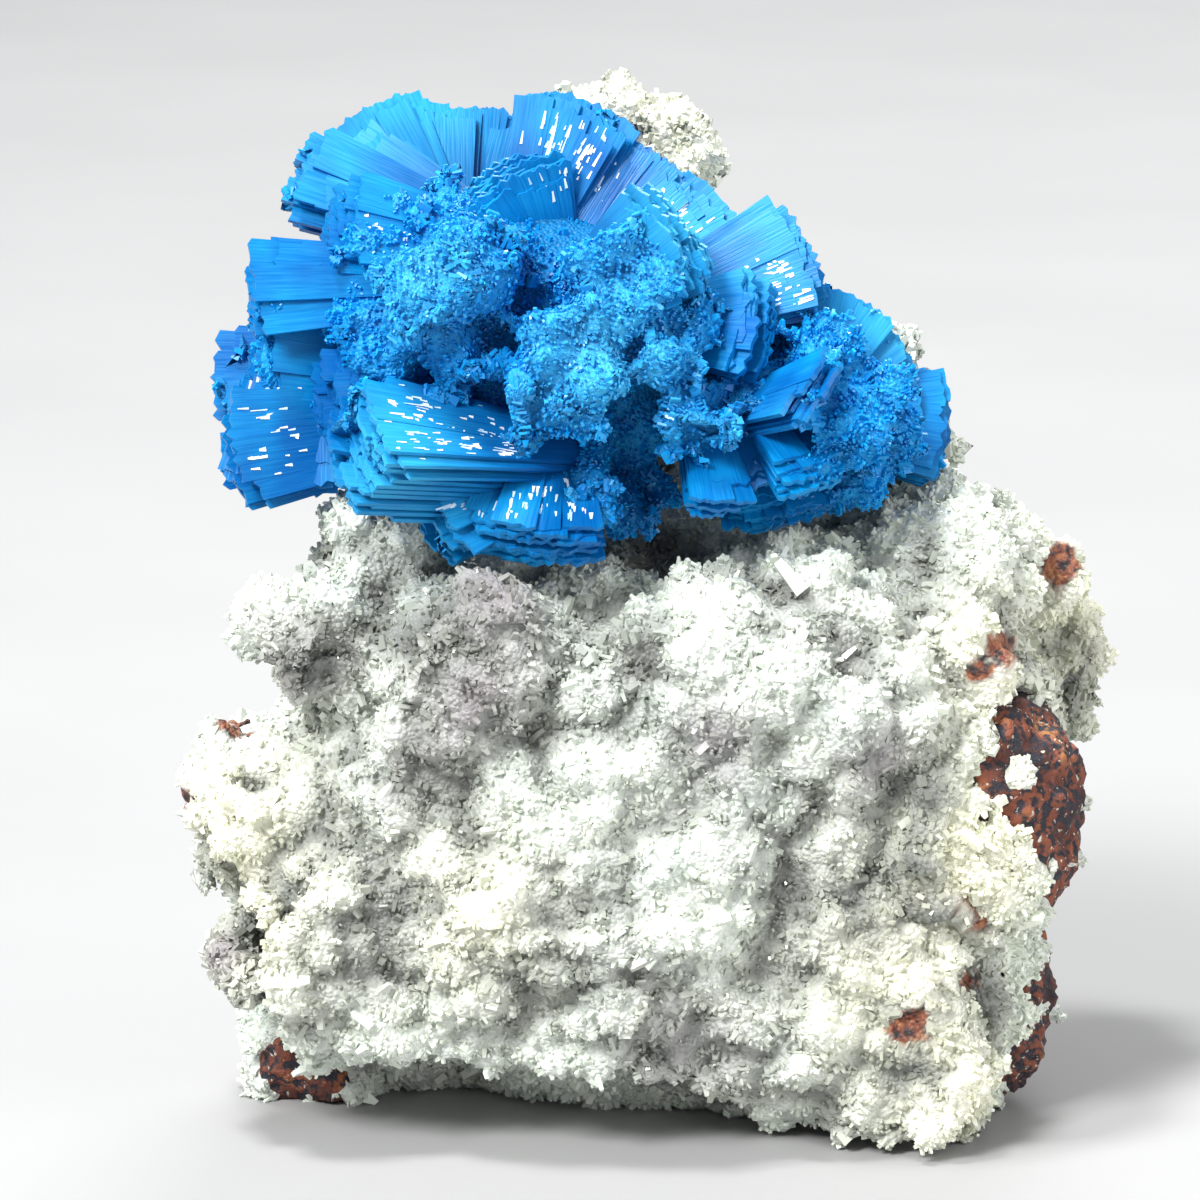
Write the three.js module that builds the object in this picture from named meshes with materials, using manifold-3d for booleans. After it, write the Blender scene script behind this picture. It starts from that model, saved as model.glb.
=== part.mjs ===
// A cavansite specimen: a blue rosette of bladed crystals on a lump of pale zeolite druse with a basalt core.
// Units are millimetres. X runs to the viewer's right, Y away from the viewer and Z up.
// The specimen stands on z = 0, with the middle of its bounding box over the origin.
import * as THREE from "three";
import { mergeVertices } from "three/addons/utils/BufferGeometryUtils.js";
import Module from "manifold-3d";

const wasm = await Module();
wasm.setup();

// Driving dimensions
const GAP = 0.3; // room left between two minerals that touch
const BODY_CENTRE = new THREE.Vector3(-0.5, 0, 11.5);
const BODY_FRONT = 11.4; // from the centre to the front face
const BODY_BACK = 10.6;
const BODY_SQUARENESS = 2.8; // 2 is an ellipsoid, more is blockier
const BODY_DETAIL = 6; // how finely the ball that it starts from is divided
const BODY_KNOBS = { count: 90, height: 2.1, seed: 5 };
const LOBE_DETAIL = 2;
const LOBE_KNOBS = { count: 16, height: 1.6 };
const CORE_DETAIL = 1;
const FAN_ROOT_SHARE = 0.3; // width of a fan at its root, as a share of its width at the tips
const TOOTH_SLANT = 0.05; // slope of a tooth's end, as a share of the fan's length
const TOOTH_JITTER = 0.1; // how unevenly the teeth end, as a share of the fan's length
const BLADE_SEED = 7;
const BASE_DEPTH = 20; // depth of the block that cuts the base flat
const BASE_SIDE = 80;
const KNOB_SPREAD = 2.3; // a knob's reach is this over the root of how many knobs there are
const KNOB_LEVEL = 0.5; // the share of a knob's height that lies inside the lump's own surface
const BODY_KNOB_LEVEL = 0.7;
const HOLLOW_KNOB_HEIGHT = 0.6;
const BLOCK_KNOB_HEIGHT = 1.1;
const CORE_KNOB_HEIGHT = 0.8;
const OUTLINE_STEPS = 360; // directions in which the outline's reach is measured
const OUTLINE_POINTS = 2160;

// The druse's front outline, anticlockwise from the lower left, as x and z
const OUTLINE = [
  [-15.8, 4.0],
  [-12.5, -0.6],
  [-4, -2.2],
  [8, -2.2],
  [13.4, -0.4],
  [15.4, 6],
  [16.4, 10.6],
  [17, 15.4],
  [15.8, 21.4],
  [12.6, 23.6],
  [5, 23.4],
  [-4, 23.2],
  [-10.6, 21.4],
  [-13.4, 16.4],
  [-16.4, 14.8],
  [-17.6, 11.6],
  [-16.6, 8],
];

// Lobes that stand out of the druse: centre, radii and the seed of their knobs
const LOBES = [
  { centre: [-12.4, -5.0, 19.6], radii: [3.7, 4.2, 2.9], seed: 11 }, // left lobe
  { centre: [-10.4, -2.4, 21.6], radii: [3.4, 4.4, 3.4], seed: 12 }, // upper left lobe
  { centre: [-6.6, -7.4, 18.4], radii: [4.5, 4.0, 5.2], seed: 13 }, // overhanging lobe
  { centre: [-15.0, -2.8, 12.0], radii: [3.4, 6.0, 3.8], seed: 14 }, // left shoulder
  { centre: [-11.2, -6.6, 8.4], radii: [5.2, 4.8, 5.0], seed: 15 }, // lower left lobe
  { centre: [-2.5, -7.4, 9.2], radii: [8.4, 5.0, 5.6], seed: 16 }, // lower middle lobe
  { centre: [5.0, -7.0, 17.8], radii: [7.4, 4.6, 5.4], seed: 24 }, // upper middle lobe
  { centre: [9.9, -6.2, 3.4], radii: [4.5, 4.8, 5.8], seed: 17 }, // front right foot
  { centre: [12.0, -0.6, 21.4], radii: [3.8, 5.6, 4.0], seed: 18 }, // upper right shoulder
  { centre: [15.0, 4.6, 17.2], radii: [3.9, 4.4, 5.3], seed: 19 }, // crust behind the right side
  { centre: [10.3, 5.4, 24.6], radii: [2.4, 3.4, 5.3], seed: 20 }, // small spur at the back right
  { centre: [3.4, 6.6, 23.6], radii: [5.6, 4.4, 4.6], detail: 1, seed: 21 }, // foot of the tall spur
  { centre: [-0.6, 6.8, 27.4], radii: [4.4, 3.6, 4.6], detail: 1, seed: 22 }, // lower part of the tall spur
  { centre: [1.9, 7.8, 31.4], radii: [3.3, 3.0, 4.4], seed: 23 }, // upper part of the tall spur
  { centre: [0.6, 8.0, 36.0], radii: [2.9, 2.6, 3.5], seed: 25 }, // its right peak
  { centre: [-1.4, 8.1, 36.7], radii: [3.0, 2.5, 3.4], seed: 26 }, // its left peak
];

// Hollows under the front edge and in the left flank: centre, radii and seed
const HOLLOWS = [
  { centre: [-6.5, -11.4, -0.8], radii: [13.6, 12.4, 4.2], seed: 31 },
  { centre: [-10.0, -12.6, 12.2], radii: [1.9, 3.4, 1.5], detail: 1, seed: 32 },
  { centre: [9.0, -12.4, 13.2], radii: [2.2, 3.0, 1.6], detail: 1, seed: 33 },
  { centre: [-16.8, -8.4, 8.6], radii: [2.2, 3.4, 2.0], detail: 1, seed: 34 },
];

// The basalt: a block that comes out on the right side, the back and the base
const BASALT = [
  { centre: [2.8, 2.8, 8.8], radii: [13.4, 8.2, 9.6], squareness: 3, detail: 2, seed: 41 },
  { centre: [-8.4, 2.4, 2.0], radii: [6.4, 3.6, 3.2], squareness: 2.6, detail: 0, seed: 45 },
  { centre: [-12.7, 0.6, 1.7], radii: [2.9, 3.6, 3.0], squareness: 2.4, detail: 2, seed: 42 },
  { centre: [13.0, -3.6, 12.4], radii: [4.1, 5.2, 4.9], squareness: 2.4, detail: 2, seed: 43 },
  { centre: [12.9, -0.8, 5.2], radii: [3.2, 4.6, 5.4], squareness: 2.4, detail: 2, seed: 44 },
];

// The massive middle that the blades grow from
const BLADE_CORES = [
  { centre: [-4, -0.4, 30.0], radii: [7.4, 5.4, 6.8], detail: CORE_DETAIL, seed: 51 },
  { centre: [5.6, -0.6, 27.2], radii: [4.6, 4.4, 4.6], detail: CORE_DETAIL, seed: 52 },
];

// Fans of blades: where each starts, the middle of its tips, the way its flat face looks, its width across
// the tips, its thickness and the number of teeth it ends in
const LEFT_BACK = [
  { root: [-5.1, 0, 33.6], tip: [-13.9, 1.5, 36.9], face: [0, -0.8, 0.6], width: 3.2, thick: 2.3, teeth: 3 },
  { root: [-5.1, 1, 33.8], tip: [-12.3, 3.2, 37.4], face: [0.1, -0.9, 0.4], width: 3.0, thick: 1.9, teeth: 3 },
  { root: [-7.1, 2, 33.2], tip: [-10.8, 4.0, 39.2], face: [0.2, -0.9, 0.4], width: 3.4, thick: 1.9, teeth: 3 },
  { root: [-7.5, 2.5, 33.0], tip: [-8.5, 4.5, 39.2], face: [0, -0.95, 0.3], width: 2.8, thick: 1.9, teeth: 3 },
  { root: [-6.7, 3, 33.0], tip: [-6.1, 4.8, 39.2], face: [0, -0.95, 0.3], width: 3.4, thick: 1.9, teeth: 3 },
];
const TOP_RIDGE = [
  { root: [-4.3, 0, 33.6], tip: [-2.2, 1.0, 39.9], face: [-0.1, -0.8, 0.6], width: 4.4, thick: 2.4, teeth: 2 },
  { root: [-3.5, -1, 32.4], tip: [0.8, 0.8, 37.6], face: [0.1, -0.8, 0.6], width: 4.0, thick: 2.4, teeth: 3 },
  { root: [-2.3, -2, 31.9], tip: [3.5, 0, 35.7], face: [0.1, -0.8, 0.6], width: 3.8, thick: 2.4, teeth: 3 },
  { root: [-1.1, -2, 30.7], tip: [6.4, -1.8, 33.6], face: [0, -0.9, 0.4], width: 3.6, thick: 2.6, teeth: 3 },
];
const LEFT_MASS = [
  { root: [-3.5, -1, 32.6], tip: [-15.6, -3, 32.9], face: [0, -0.9, 0.4], width: 3.0, thick: 2.8, teeth: 3 },
  { root: [-3.5, 0, 33.0], tip: [-12.4, -2.2, 35.1], face: [0, -0.8, 0.6], width: 3.8, thick: 2.6, teeth: 2 },
  { root: [-3.5, 0, 33.0], tip: [-9.0, -1.4, 36.4], face: [0, -0.8, 0.6], width: 4.0, thick: 2.6, teeth: 2 },
  { root: [-3.5, 0, 33.0], tip: [-5.5, -1.4, 37.4], face: [0, -0.9, 0.4], width: 4.2, thick: 2.6, teeth: 2 },
  { root: [-3.5, -2, 29.5], tip: [-7.9, -7, 31.0], face: [0.3, -0.7, 0.6], width: 3.6, thick: 2.4, teeth: 2 },
  { root: [-3.5, -2, 30.0], tip: [-9.9, -6.4, 32.5], face: [-0.3, -0.8, 0.5], width: 3.8, thick: 2.4, teeth: 2 },
  { root: [-3.5, -2, 29.5], tip: [-12.0, -5.0, 31.0], face: [-0.2, -0.9, 0.3], width: 3.8, thick: 2.4, teeth: 2 },
  { root: [-3.5, -2, 28.8], tip: [-12.7, -5.4, 28.4], face: [-0.1, -0.9, 0.4], width: 3.8, thick: 2.4, teeth: 2 },
];
const LEFT_COLUMN = [
  { root: [-5.9, -1, 28.5], tip: [-15.4, -2.6, 30.6], face: [0, -0.9, 0.3], width: 3.6, thick: 2.8, teeth: 3 },
  { root: [-5.9, -1, 27.5], tip: [-16.4, -3.8, 26.8], face: [0, -0.95, 0.2], width: 4.2, thick: 3.1, teeth: 4 },
  { root: [-6.7, 1, 28.9], tip: [-17.2, 0.4, 28.6], face: [0, -0.9, 0.4], width: 2.8, thick: 2.4, teeth: 3 },
];
const LOWER_FRONT = [
  { root: [-2.3, -4, 25.5], tip: [-11.5, -8.8, 28.0], face: [-0.2, -0.65, 0.75], width: 4.2, thick: 3.8, teeth: 5 },
  { root: [-2.3, -4, 26.0], tip: [-8.5, -7.2, 24.6], face: [-0.2, -0.8, 0.5], width: 3.4, thick: 2.3, teeth: 3 },
  { root: [-3.5, -3, 27.2], tip: [-4.3, -8.8, 23.4], face: [0, -0.7, 0.7], width: 4.6, thick: 2.3, teeth: 4 },
  { root: [-3.0, -3, 27.0], tip: [-1.9, -8.4, 25.0], face: [0, -0.6, 0.8], width: 3.4, thick: 2.1, teeth: 3 },
  { root: [-1.9, -2, 27.4], tip: [-0.5, -5.4, 23.6], face: [0, -0.8, 0.6], width: 2.6, thick: 1.9, teeth: 2 },
  { root: [-1.0, -2, 27.4], tip: [1.0, -5.0, 24.3], face: [0.1, -0.8, 0.6], width: 2.4, thick: 1.1, teeth: 2 },
  { root: [1.7, -3, 28.9], tip: [2.9, -8.2, 24.9], face: [0.3, -0.7, 0.6], width: 1.9, thick: 1.5, teeth: 1 },
  { root: [2.1, -3, 28.9], tip: [4.6, -6.6, 25.5], face: [0.2, -0.8, 0.5], width: 2.2, thick: 1.3, teeth: 2 },
  { root: [3.7, -3, 28.9], tip: [6.7, -7.6, 25.9], face: [0.2, -0.7, 0.6], width: 2.2, thick: 1.4, teeth: 1 },
  { root: [3.7, -2, 27.4], tip: [5.0, -5.4, 24.0], face: [0, -0.8, 0.6], width: 3.0, thick: 2.1, teeth: 3 },
  { root: [4.7, -2, 27.4], tip: [7.1, -5.0, 24.1], face: [0.2, -0.8, 0.6], width: 2.4, thick: 1.2, teeth: 2 },
];
const CENTRE_FRONT = [
  { root: [-3.5, -3, 31.3], tip: [1.6, -6.2, 36.0], face: [0.1, -0.9, 0.3], width: 3.8, thick: 2.4, teeth: 2 },
  { root: [-3.3, -3, 31.0], tip: [-0.3, -8.6, 34.4], face: [0.3, -0.7, 0.6], width: 4.2, thick: 3.8, teeth: 2 },
  { root: [-2.9, -2, 31.1], tip: [-2.5, -10.8, 31.2], face: [0.9, -0.1, 0.4], width: 4.6, thick: 3.5, teeth: 3 },
  { root: [-3.2, -2, 30.5], tip: [-3.5, -10.4, 28.8], face: [-0.2, 0.1, 0.95], width: 4.4, thick: 3.5, teeth: 3 },
  { root: [-4.3, -1, 31.3], tip: [-8.5, -8.6, 34.2], face: [-0.6, -0.2, 0.8], width: 4.2, thick: 3.5, teeth: 3 },
  { root: [-4.3, -1, 31.3], tip: [-6.3, -7.0, 35.6], face: [-0.2, -0.7, 0.7], width: 4.2, thick: 2.4, teeth: 2 },
  { root: [-0.3, -3, 31.3], tip: [1.3, -8.4, 30.2], face: [0.5, -0.3, 0.8], width: 3.6, thick: 2.3, teeth: 2 },
  { root: [-0.3, -3, 31.3], tip: [2.9, -6.4, 32.2], face: [0.4, -0.8, 0.4], width: 3.8, thick: 2.3, teeth: 2 },
  { root: [-0.3, -2, 31.0], tip: [5.0, -5.0, 31.6], face: [0.2, -0.9, 0.4], width: 3.8, thick: 2.3, teeth: 2 },
];
const RIGHT_LOBE = [
  { root: [6.1, -1, 27.6], tip: [8.1, 0, 32.4], face: [0, -0.95, 0.3], width: 3.6, thick: 2.3, teeth: 3 },
  { root: [6.1, -1, 27.6], tip: [9.7, 0.2, 31.0], face: [0, -0.95, 0.3], width: 3.2, thick: 2.3, teeth: 2 },
  { root: [6.1, -1, 27.6], tip: [10.8, 0.2, 29.2], face: [0, -0.95, 0.3], width: 3.0, thick: 2.1, teeth: 2 },
  { root: [6.1, -1, 27.4], tip: [12.3, 0.4, 27.6], face: [0, -0.9, 0.4], width: 2.6, thick: 1.9, teeth: 2 },
  { root: [6.1, -1, 27.2], tip: [12.2, -0.6, 26.2], face: [0, -0.9, 0.4], width: 2.6, thick: 1.9, teeth: 2 },
  { root: [6.1, -1, 27.2], tip: [10.7, -2.6, 25.0], face: [0.1, -0.9, 0.4], width: 3.2, thick: 2.3, teeth: 2 },
  { root: [6.1, -1.5, 27.2], tip: [8.7, -4.4, 24.4], face: [0.1, -0.8, 0.6], width: 3.2, thick: 2.3, teeth: 2 },
  { root: [6.1, -1, 27.6], tip: [8.5, -6.6, 29.6], face: [0.7, -0.2, 0.7], width: 4.0, thick: 3.5, teeth: 2 },
  { root: [6.1, -1, 27.6], tip: [7.3, -4.8, 31.4], face: [0.2, -0.7, 0.7], width: 3.8, thick: 2.4, teeth: 2 },
  { root: [6.1, -1, 27.4], tip: [10.1, -5.4, 27.8], face: [0.7, -0.6, 0.4], width: 3.6, thick: 2.4, teeth: 2 },
  { root: [6.1, -1, 27.2], tip: [8.1, -7.2, 27.0], face: [0.2, -0.2, 0.95], width: 3.8, thick: 2.4, teeth: 2 },
  { root: [2.9, -3, 27.6], tip: [7.0, -8.6, 30.2], face: [-0.3, -0.6, 0.75], width: 2.8, thick: 1.2, teeth: 2 },
  { root: [3.7, -3, 29.2], tip: [2.2, -9.0, 27.8], face: [-0.1, -0.5, 0.85], width: 3.8, thick: 2.3, teeth: 3 },
];
const BACK = [
  { root: [-5, 1, 32], tip: [-12.0, 5.4, 34.2], face: [-0.4, 0.6, 0.7], width: 4.0, thick: 2.4, teeth: 2 },
  { root: [-5, 1, 30], tip: [-12.6, 4.8, 29.6], face: [-0.4, 0.8, 0.4], width: 4.0, thick: 2.4, teeth: 2 },
  { root: [-5, 1, 29], tip: [-10.4, 4.8, 26.0], face: [-0.2, 0.9, 0.3], width: 3.8, thick: 2.4, teeth: 2 },
  { root: [-5, 1, 31], tip: [-8.2, 7.6, 32.6], face: [-0.7, 0.2, 0.7], width: 4.2, thick: 3.5, teeth: 2 },
  { root: [-5, 1, 30], tip: [-7.0, 7.4, 28.2], face: [-0.6, 0.4, 0.7], width: 4.0, thick: 2.4, teeth: 2 },
  { root: [-4, 1, 32], tip: [-6.6, 6.8, 36.0], face: [-0.3, 0.6, 0.7], width: 4.0, thick: 2.4, teeth: 2 },
  { root: [0, 0, 31], tip: [5.4, 3.6, 33.0], face: [0.3, 0.8, 0.5], width: 3.8, thick: 2.4, teeth: 2 },
  { root: [5, 0, 28], tip: [7.4, 4.4, 30.0], face: [0.3, 0.6, 0.7], width: 3.6, thick: 2.3, teeth: 2 },
];
const FANS = [
  ...LEFT_BACK,
  ...TOP_RIDGE,
  ...LEFT_MASS,
  ...LEFT_COLUMN,
  ...LOWER_FRONT,
  ...CENTRE_FRONT,
  ...RIGHT_LOBE,
  ...BACK,
];

// A repeatable stream of numbers from 0 to 1
function randomFrom(seed) {
  let state = seed >>> 0;
  return () => {
    state = (Math.imul(state, 1664525) + 1013904223) >>> 0;
    return state / 4294967296;
  };
}

// A closed mesh as a solid that can be joined and cut
function solidOf(geometry) {
  const bare = geometry.clone();
  bare.deleteAttribute("normal");
  bare.deleteAttribute("uv");
  const merged = mergeVertices(bare, 1e-4);
  return new wasm.Manifold(
    new wasm.Mesh({
      numProp: 3,
      vertProperties: merged.attributes.position.array,
      triVerts: new Uint32Array(merged.index.array),
    }),
  );
}

function geometryOf(solid) {
  const mesh = solid.getMesh();
  const geometry = new THREE.BufferGeometry();
  geometry.setAttribute("position", new THREE.BufferAttribute(mesh.vertProperties, mesh.numProp));
  geometry.setIndex(new THREE.BufferAttribute(mesh.triVerts, 1));
  const flat = geometry.toNonIndexed();
  flat.computeVertexNormals();
  return flat;
}

// Knobs spread evenly over a ball, each with its own height and breadth
function knobsOn(count, seed) {
  const random = randomFrom(seed);
  const turn = Math.PI * (3 - Math.sqrt(5));
  const reach = KNOB_SPREAD / Math.sqrt(count);
  return Array.from({ length: count }, (_, i) => {
    const z = 1 - (2 * (i + 0.5)) / count;
    const ring = Math.sqrt(1 - z * z);
    const way = new THREE.Vector3(ring * Math.cos(turn * i), ring * Math.sin(turn * i), z);
    way.x += (random() - 0.5) * reach;
    way.y += (random() - 0.5) * reach;
    way.z += (random() - 0.5) * reach;
    return { way: way.normalize(), height: 0.45 + 0.55 * random(), reach: reach * (0.8 + 0.5 * random()) };
  });
}

// How far the highest knob raises the surface in one direction, from 0 to 1
function knobbed(direction, knobs) {
  let raised = 0;
  for (const knob of knobs) {
    const away = direction.distanceTo(knob.way) / knob.reach;
    raised = Math.max(raised, knob.height * (1 - away * away));
  }
  return raised;
}

// A ball whose every vertex is moved to where reach(direction) puts it
function shapedBall(detail, reach) {
  const ball = new THREE.IcosahedronGeometry(1, detail);
  ball.deleteAttribute("normal");
  ball.deleteAttribute("uv");
  const merged = mergeVertices(ball, 1e-5);
  const places = merged.getAttribute("position");
  const direction = new THREE.Vector3();
  for (let i = 0; i < places.count; i++) {
    direction.fromBufferAttribute(places, i).normalize();
    const moved = reach(direction.clone());
    places.setXYZ(i, moved.x, moved.y, moved.z);
  }
  return merged;
}

// A knobbly ellipsoid, grown outwards by grow
function lump({ centre, radii, seed, squareness = 2.2, detail = LOBE_DETAIL }, grow, knobHeight) {
  const knobs = knobsOn(LOBE_KNOBS.count, seed);
  return shapedBall(detail, (way) => {
    const sum =
      Math.abs(way.x / radii[0]) ** squareness +
      Math.abs(way.y / radii[1]) ** squareness +
      Math.abs(way.z / radii[2]) ** squareness;
    const size = sum ** (-1 / squareness) + knobHeight * (knobbed(way, knobs) - KNOB_LEVEL) + grow;
    return way.multiplyScalar(size).add(new THREE.Vector3(...centre));
  });
}

// The number of the outline's direction that holds an angle
function stepAt(angle) {
  return Math.floor(((angle / (2 * Math.PI) + 1) % 1) * OUTLINE_STEPS);
}

// How far the front outline lies from the body's centre at an angle in the XZ plane
function outlineReach() {
  const curve = new THREE.CatmullRomCurve3(
    OUTLINE.map(([x, z]) => new THREE.Vector3(x - BODY_CENTRE.x, 0, z - BODY_CENTRE.z)),
    true,
    "centripetal",
  );
  const reach = new Float64Array(OUTLINE_STEPS);
  for (const point of curve.getPoints(OUTLINE_POINTS)) {
    const angle = Math.atan2(point.z, point.x);
    const step = stepAt(angle);
    reach[step] = Math.max(reach[step], Math.hypot(point.x, point.z));
  }
  return (angle) => reach[stepAt(angle)];
}

// The main mass of the druse: its outline seen from the front, rounded off to the front and the back
function mainMass(grow) {
  const knobs = knobsOn(BODY_KNOBS.count, BODY_KNOBS.seed);
  const reachAt = outlineReach();
  return shapedBall(BODY_DETAIL, (way) => {
    const level = Math.hypot(way.x, way.z);
    const depth = way.y < 0 ? BODY_FRONT : BODY_BACK;
    const side = level / reachAt(Math.atan2(way.z, way.x));
    const sum = side ** BODY_SQUARENESS + Math.abs(way.y / depth) ** BODY_SQUARENESS;
    const size = sum ** (-1 / BODY_SQUARENESS) + BODY_KNOBS.height * (knobbed(way, knobs) - BODY_KNOB_LEVEL) + grow;
    return way.multiplyScalar(size).add(BODY_CENTRE);
  });
}

// A block whose top face is at height z
function ground(z) {
  const block = new THREE.BoxGeometry(BASE_SIDE, BASE_SIDE, BASE_DEPTH);
  block.translate(0, 0, z - BASE_DEPTH / 2);
  return solidOf(block);
}

// The druse as it would be with no basalt in it, grown outwards by grow
function druseMass(grow) {
  let mass = solidOf(mainMass(grow));
  for (const lobe of LOBES) {
    mass = mass.add(solidOf(lump(lobe, grow, LOBE_KNOBS.height)));
  }
  for (const hollow of HOLLOWS) {
    mass = mass.subtract(solidOf(lump(hollow, -grow, HOLLOW_KNOB_HEIGHT)));
  }
  return mass;
}

function basaltMass(grow) {
  const blocks = BASALT.map((block) => solidOf(lump(block, grow, BLOCK_KNOB_HEIGHT)));
  return blocks.reduce((mass, block) => mass.add(block));
}

// A fan: a flat plate that widens from its root to a row of stepped teeth
function fanPlate(fan, random) {
  const root = new THREE.Vector3(...fan.root);
  const along = new THREE.Vector3(...fan.tip).sub(root);
  const length = along.length();
  const forward = along.normalize();
  const across = new THREE.Vector3().crossVectors(forward, new THREE.Vector3(...fan.face)).normalize();
  const outward = new THREE.Vector3().crossVectors(across, forward).normalize();
  const rootWidth = fan.width * FAN_ROOT_SHARE;
  const spread = 2 * Math.atan((fan.width - rootWidth) / 2 / length);

  const shape = new THREE.Shape();
  shape.moveTo(-rootWidth / 2, 0);
  for (let tooth = 0; tooth < fan.teeth; tooth++) {
    const from = tooth / fan.teeth - 0.5;
    const to = (tooth + 1) / fan.teeth - 0.5;
    const reach = length * (1 - TOOTH_JITTER * random());
    const slant = (random() - 0.5) * 2 * TOOTH_SLANT * length;
    for (const [share, distance] of [[from, reach - slant], [to, reach + slant]]) {
      const angle = share * spread;
      shape.lineTo(share * rootWidth + distance * Math.sin(angle), distance * Math.cos(angle));
    }
  }
  shape.lineTo(rootWidth / 2, 0);
  shape.closePath();

  const plate = new THREE.ExtrudeGeometry(shape, { depth: fan.thick, bevelEnabled: false });
  plate.translate(0, 0, -fan.thick / 2);
  plate.applyMatrix4(new THREE.Matrix4().makeBasis(across, forward, outward));
  plate.translate(root.x, root.y, root.z);
  return plate;
}

function bladeMass() {
  const random = randomFrom(BLADE_SEED);
  const cores = BLADE_CORES.map((core) => solidOf(lump(core, 0, CORE_KNOB_HEIGHT)));
  let mass = cores[0].add(cores[1]);
  for (const fan of FANS) {
    mass = mass.add(solidOf(fanPlate(fan, random)));
  }
  return mass;
}

// The largest body of a solid, without the chips that a cut leaves
function largest(solid) {
  return solid.decompose().reduce((a, b) => (a.volume() > b.volume() ? a : b));
}

const zeolite = new THREE.MeshStandardMaterial({ color: 0xdfe4d4, roughness: 0.6, metalness: 0 });
const rock = new THREE.MeshStandardMaterial({ color: 0x6e3628, roughness: 0.9, metalness: 0 });
const blue = new THREE.MeshStandardMaterial({ color: 0x1278d8, roughness: 0.3, metalness: 0 });

function named(name, solid, material) {
  const mesh = new THREE.Mesh(geometryOf(solid), material);
  mesh.name = name;
  return mesh;
}

const floor = ground(0);
const basalt = largest(basaltMass(0).subtract(floor));
const druse = largest(druseMass(0).subtract(basaltMass(GAP)).subtract(floor));
const cavansite = largest(bladeMass().subtract(druseMass(GAP)));

const specimen = new THREE.Group();
specimen.add(
  named("basalt_matrix", basalt, rock),
  named("zeolite_druse", druse, zeolite),
  named("cavansite_rosette", cavansite, blue),
);
const box = new THREE.Box3().setFromObject(specimen);
const middle = box.getCenter(new THREE.Vector3());
specimen.position.set(-middle.x, -middle.y, 0);

export default specimen;
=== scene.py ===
# %% [markdown]
# # A cavansite specimen
# A rosette of blue cavansite blades has grown on a crust of tiny zeolite crystals, and the crust on
# red-brown basalt. The solids give the three minerals their places and their large forms. This lesson
# gives each of them its fine surface: striped blades, sugary grains and speckled rock.

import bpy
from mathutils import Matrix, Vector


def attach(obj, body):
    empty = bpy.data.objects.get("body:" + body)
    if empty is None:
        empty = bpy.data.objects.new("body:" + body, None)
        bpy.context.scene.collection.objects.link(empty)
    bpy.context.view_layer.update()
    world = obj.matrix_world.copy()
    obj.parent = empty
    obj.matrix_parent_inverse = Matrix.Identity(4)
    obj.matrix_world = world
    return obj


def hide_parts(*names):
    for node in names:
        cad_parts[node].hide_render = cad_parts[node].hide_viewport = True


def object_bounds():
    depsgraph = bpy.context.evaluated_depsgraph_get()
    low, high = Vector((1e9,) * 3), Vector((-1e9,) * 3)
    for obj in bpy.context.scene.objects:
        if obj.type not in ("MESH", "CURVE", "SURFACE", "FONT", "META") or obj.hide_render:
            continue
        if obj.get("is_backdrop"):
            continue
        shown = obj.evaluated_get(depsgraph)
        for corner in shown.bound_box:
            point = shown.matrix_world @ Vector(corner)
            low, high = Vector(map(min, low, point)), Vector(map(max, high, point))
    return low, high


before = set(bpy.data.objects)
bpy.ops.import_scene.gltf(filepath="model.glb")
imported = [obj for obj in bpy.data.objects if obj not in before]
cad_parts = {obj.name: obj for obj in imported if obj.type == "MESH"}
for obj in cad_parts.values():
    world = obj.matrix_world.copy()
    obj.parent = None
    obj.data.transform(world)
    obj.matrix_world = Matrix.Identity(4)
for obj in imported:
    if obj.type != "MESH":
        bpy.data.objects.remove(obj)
cad_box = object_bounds()
print("box of the solids:", cad_box)

# %% [markdown]
# ## Tools and units
# The crystals are handled in whole arrays, which keeps many thousands of them quick. Blender measures in
# metres, so one millimetre gets a name of its own.

# %% Tools and units
import math

import bpy
import numpy as np
from mathutils import Vector, noise
from mathutils.bvhtree import BVHTree

MM = 0.001  # one millimetre, in Blender's metres

# %% [markdown]
# ## The camera
# The specimen was photographed with a long lens from a little above. A long lens hardly bends the
# proportions, so the camera stands 24 cm away and takes in a field 48 mm wide. It looks at a point just
# left of the specimen's middle, because the rosette leans to that side.

# %% Camera
CAMERA_RISE = math.radians(12)
CAMERA_DISTANCE = 240 * MM
AIM_RIGHT = -1.9 * MM
AIM_UP = 19.64 * MM  # measured in the picture's plane, up from the middle of the base

towards_camera = Vector((0, -math.cos(CAMERA_RISE), math.sin(CAMERA_RISE)))
picture_up = Vector((0, math.sin(CAMERA_RISE), math.cos(CAMERA_RISE)))
aim = Vector((AIM_RIGHT, 0, 0)) + picture_up * AIM_UP
camera_data = bpy.data.cameras.new("camera")
camera_data.lens = 180
camera_data.sensor_width = 36
camera = bpy.data.objects.new("camera", camera_data)
bpy.context.collection.objects.link(camera)
camera.location = aim + towards_camera * CAMERA_DISTANCE
camera.rotation_euler = towards_camera.to_track_quat("Z", "Y").to_euler()
bpy.context.scene.camera = camera
print("camera at", tuple(round(v, 4) for v in camera.location))

# %% [markdown]
# ## Working on a copy
# A solid's own mesh stays as it is. Each mineral starts as a copy of its solid with the doubled points
# merged. The copy is then divided evenly by a voxel remesh, which also joins everything into one skin,
# and pushed in and out by Displace modifiers.


# %% Helpers for copies and modifiers
def only(piece):
    """Selects this piece and nothing else."""
    bpy.ops.object.select_all(action="DESELECT")
    piece.select_set(True)
    bpy.context.view_layer.objects.active = piece


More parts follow.
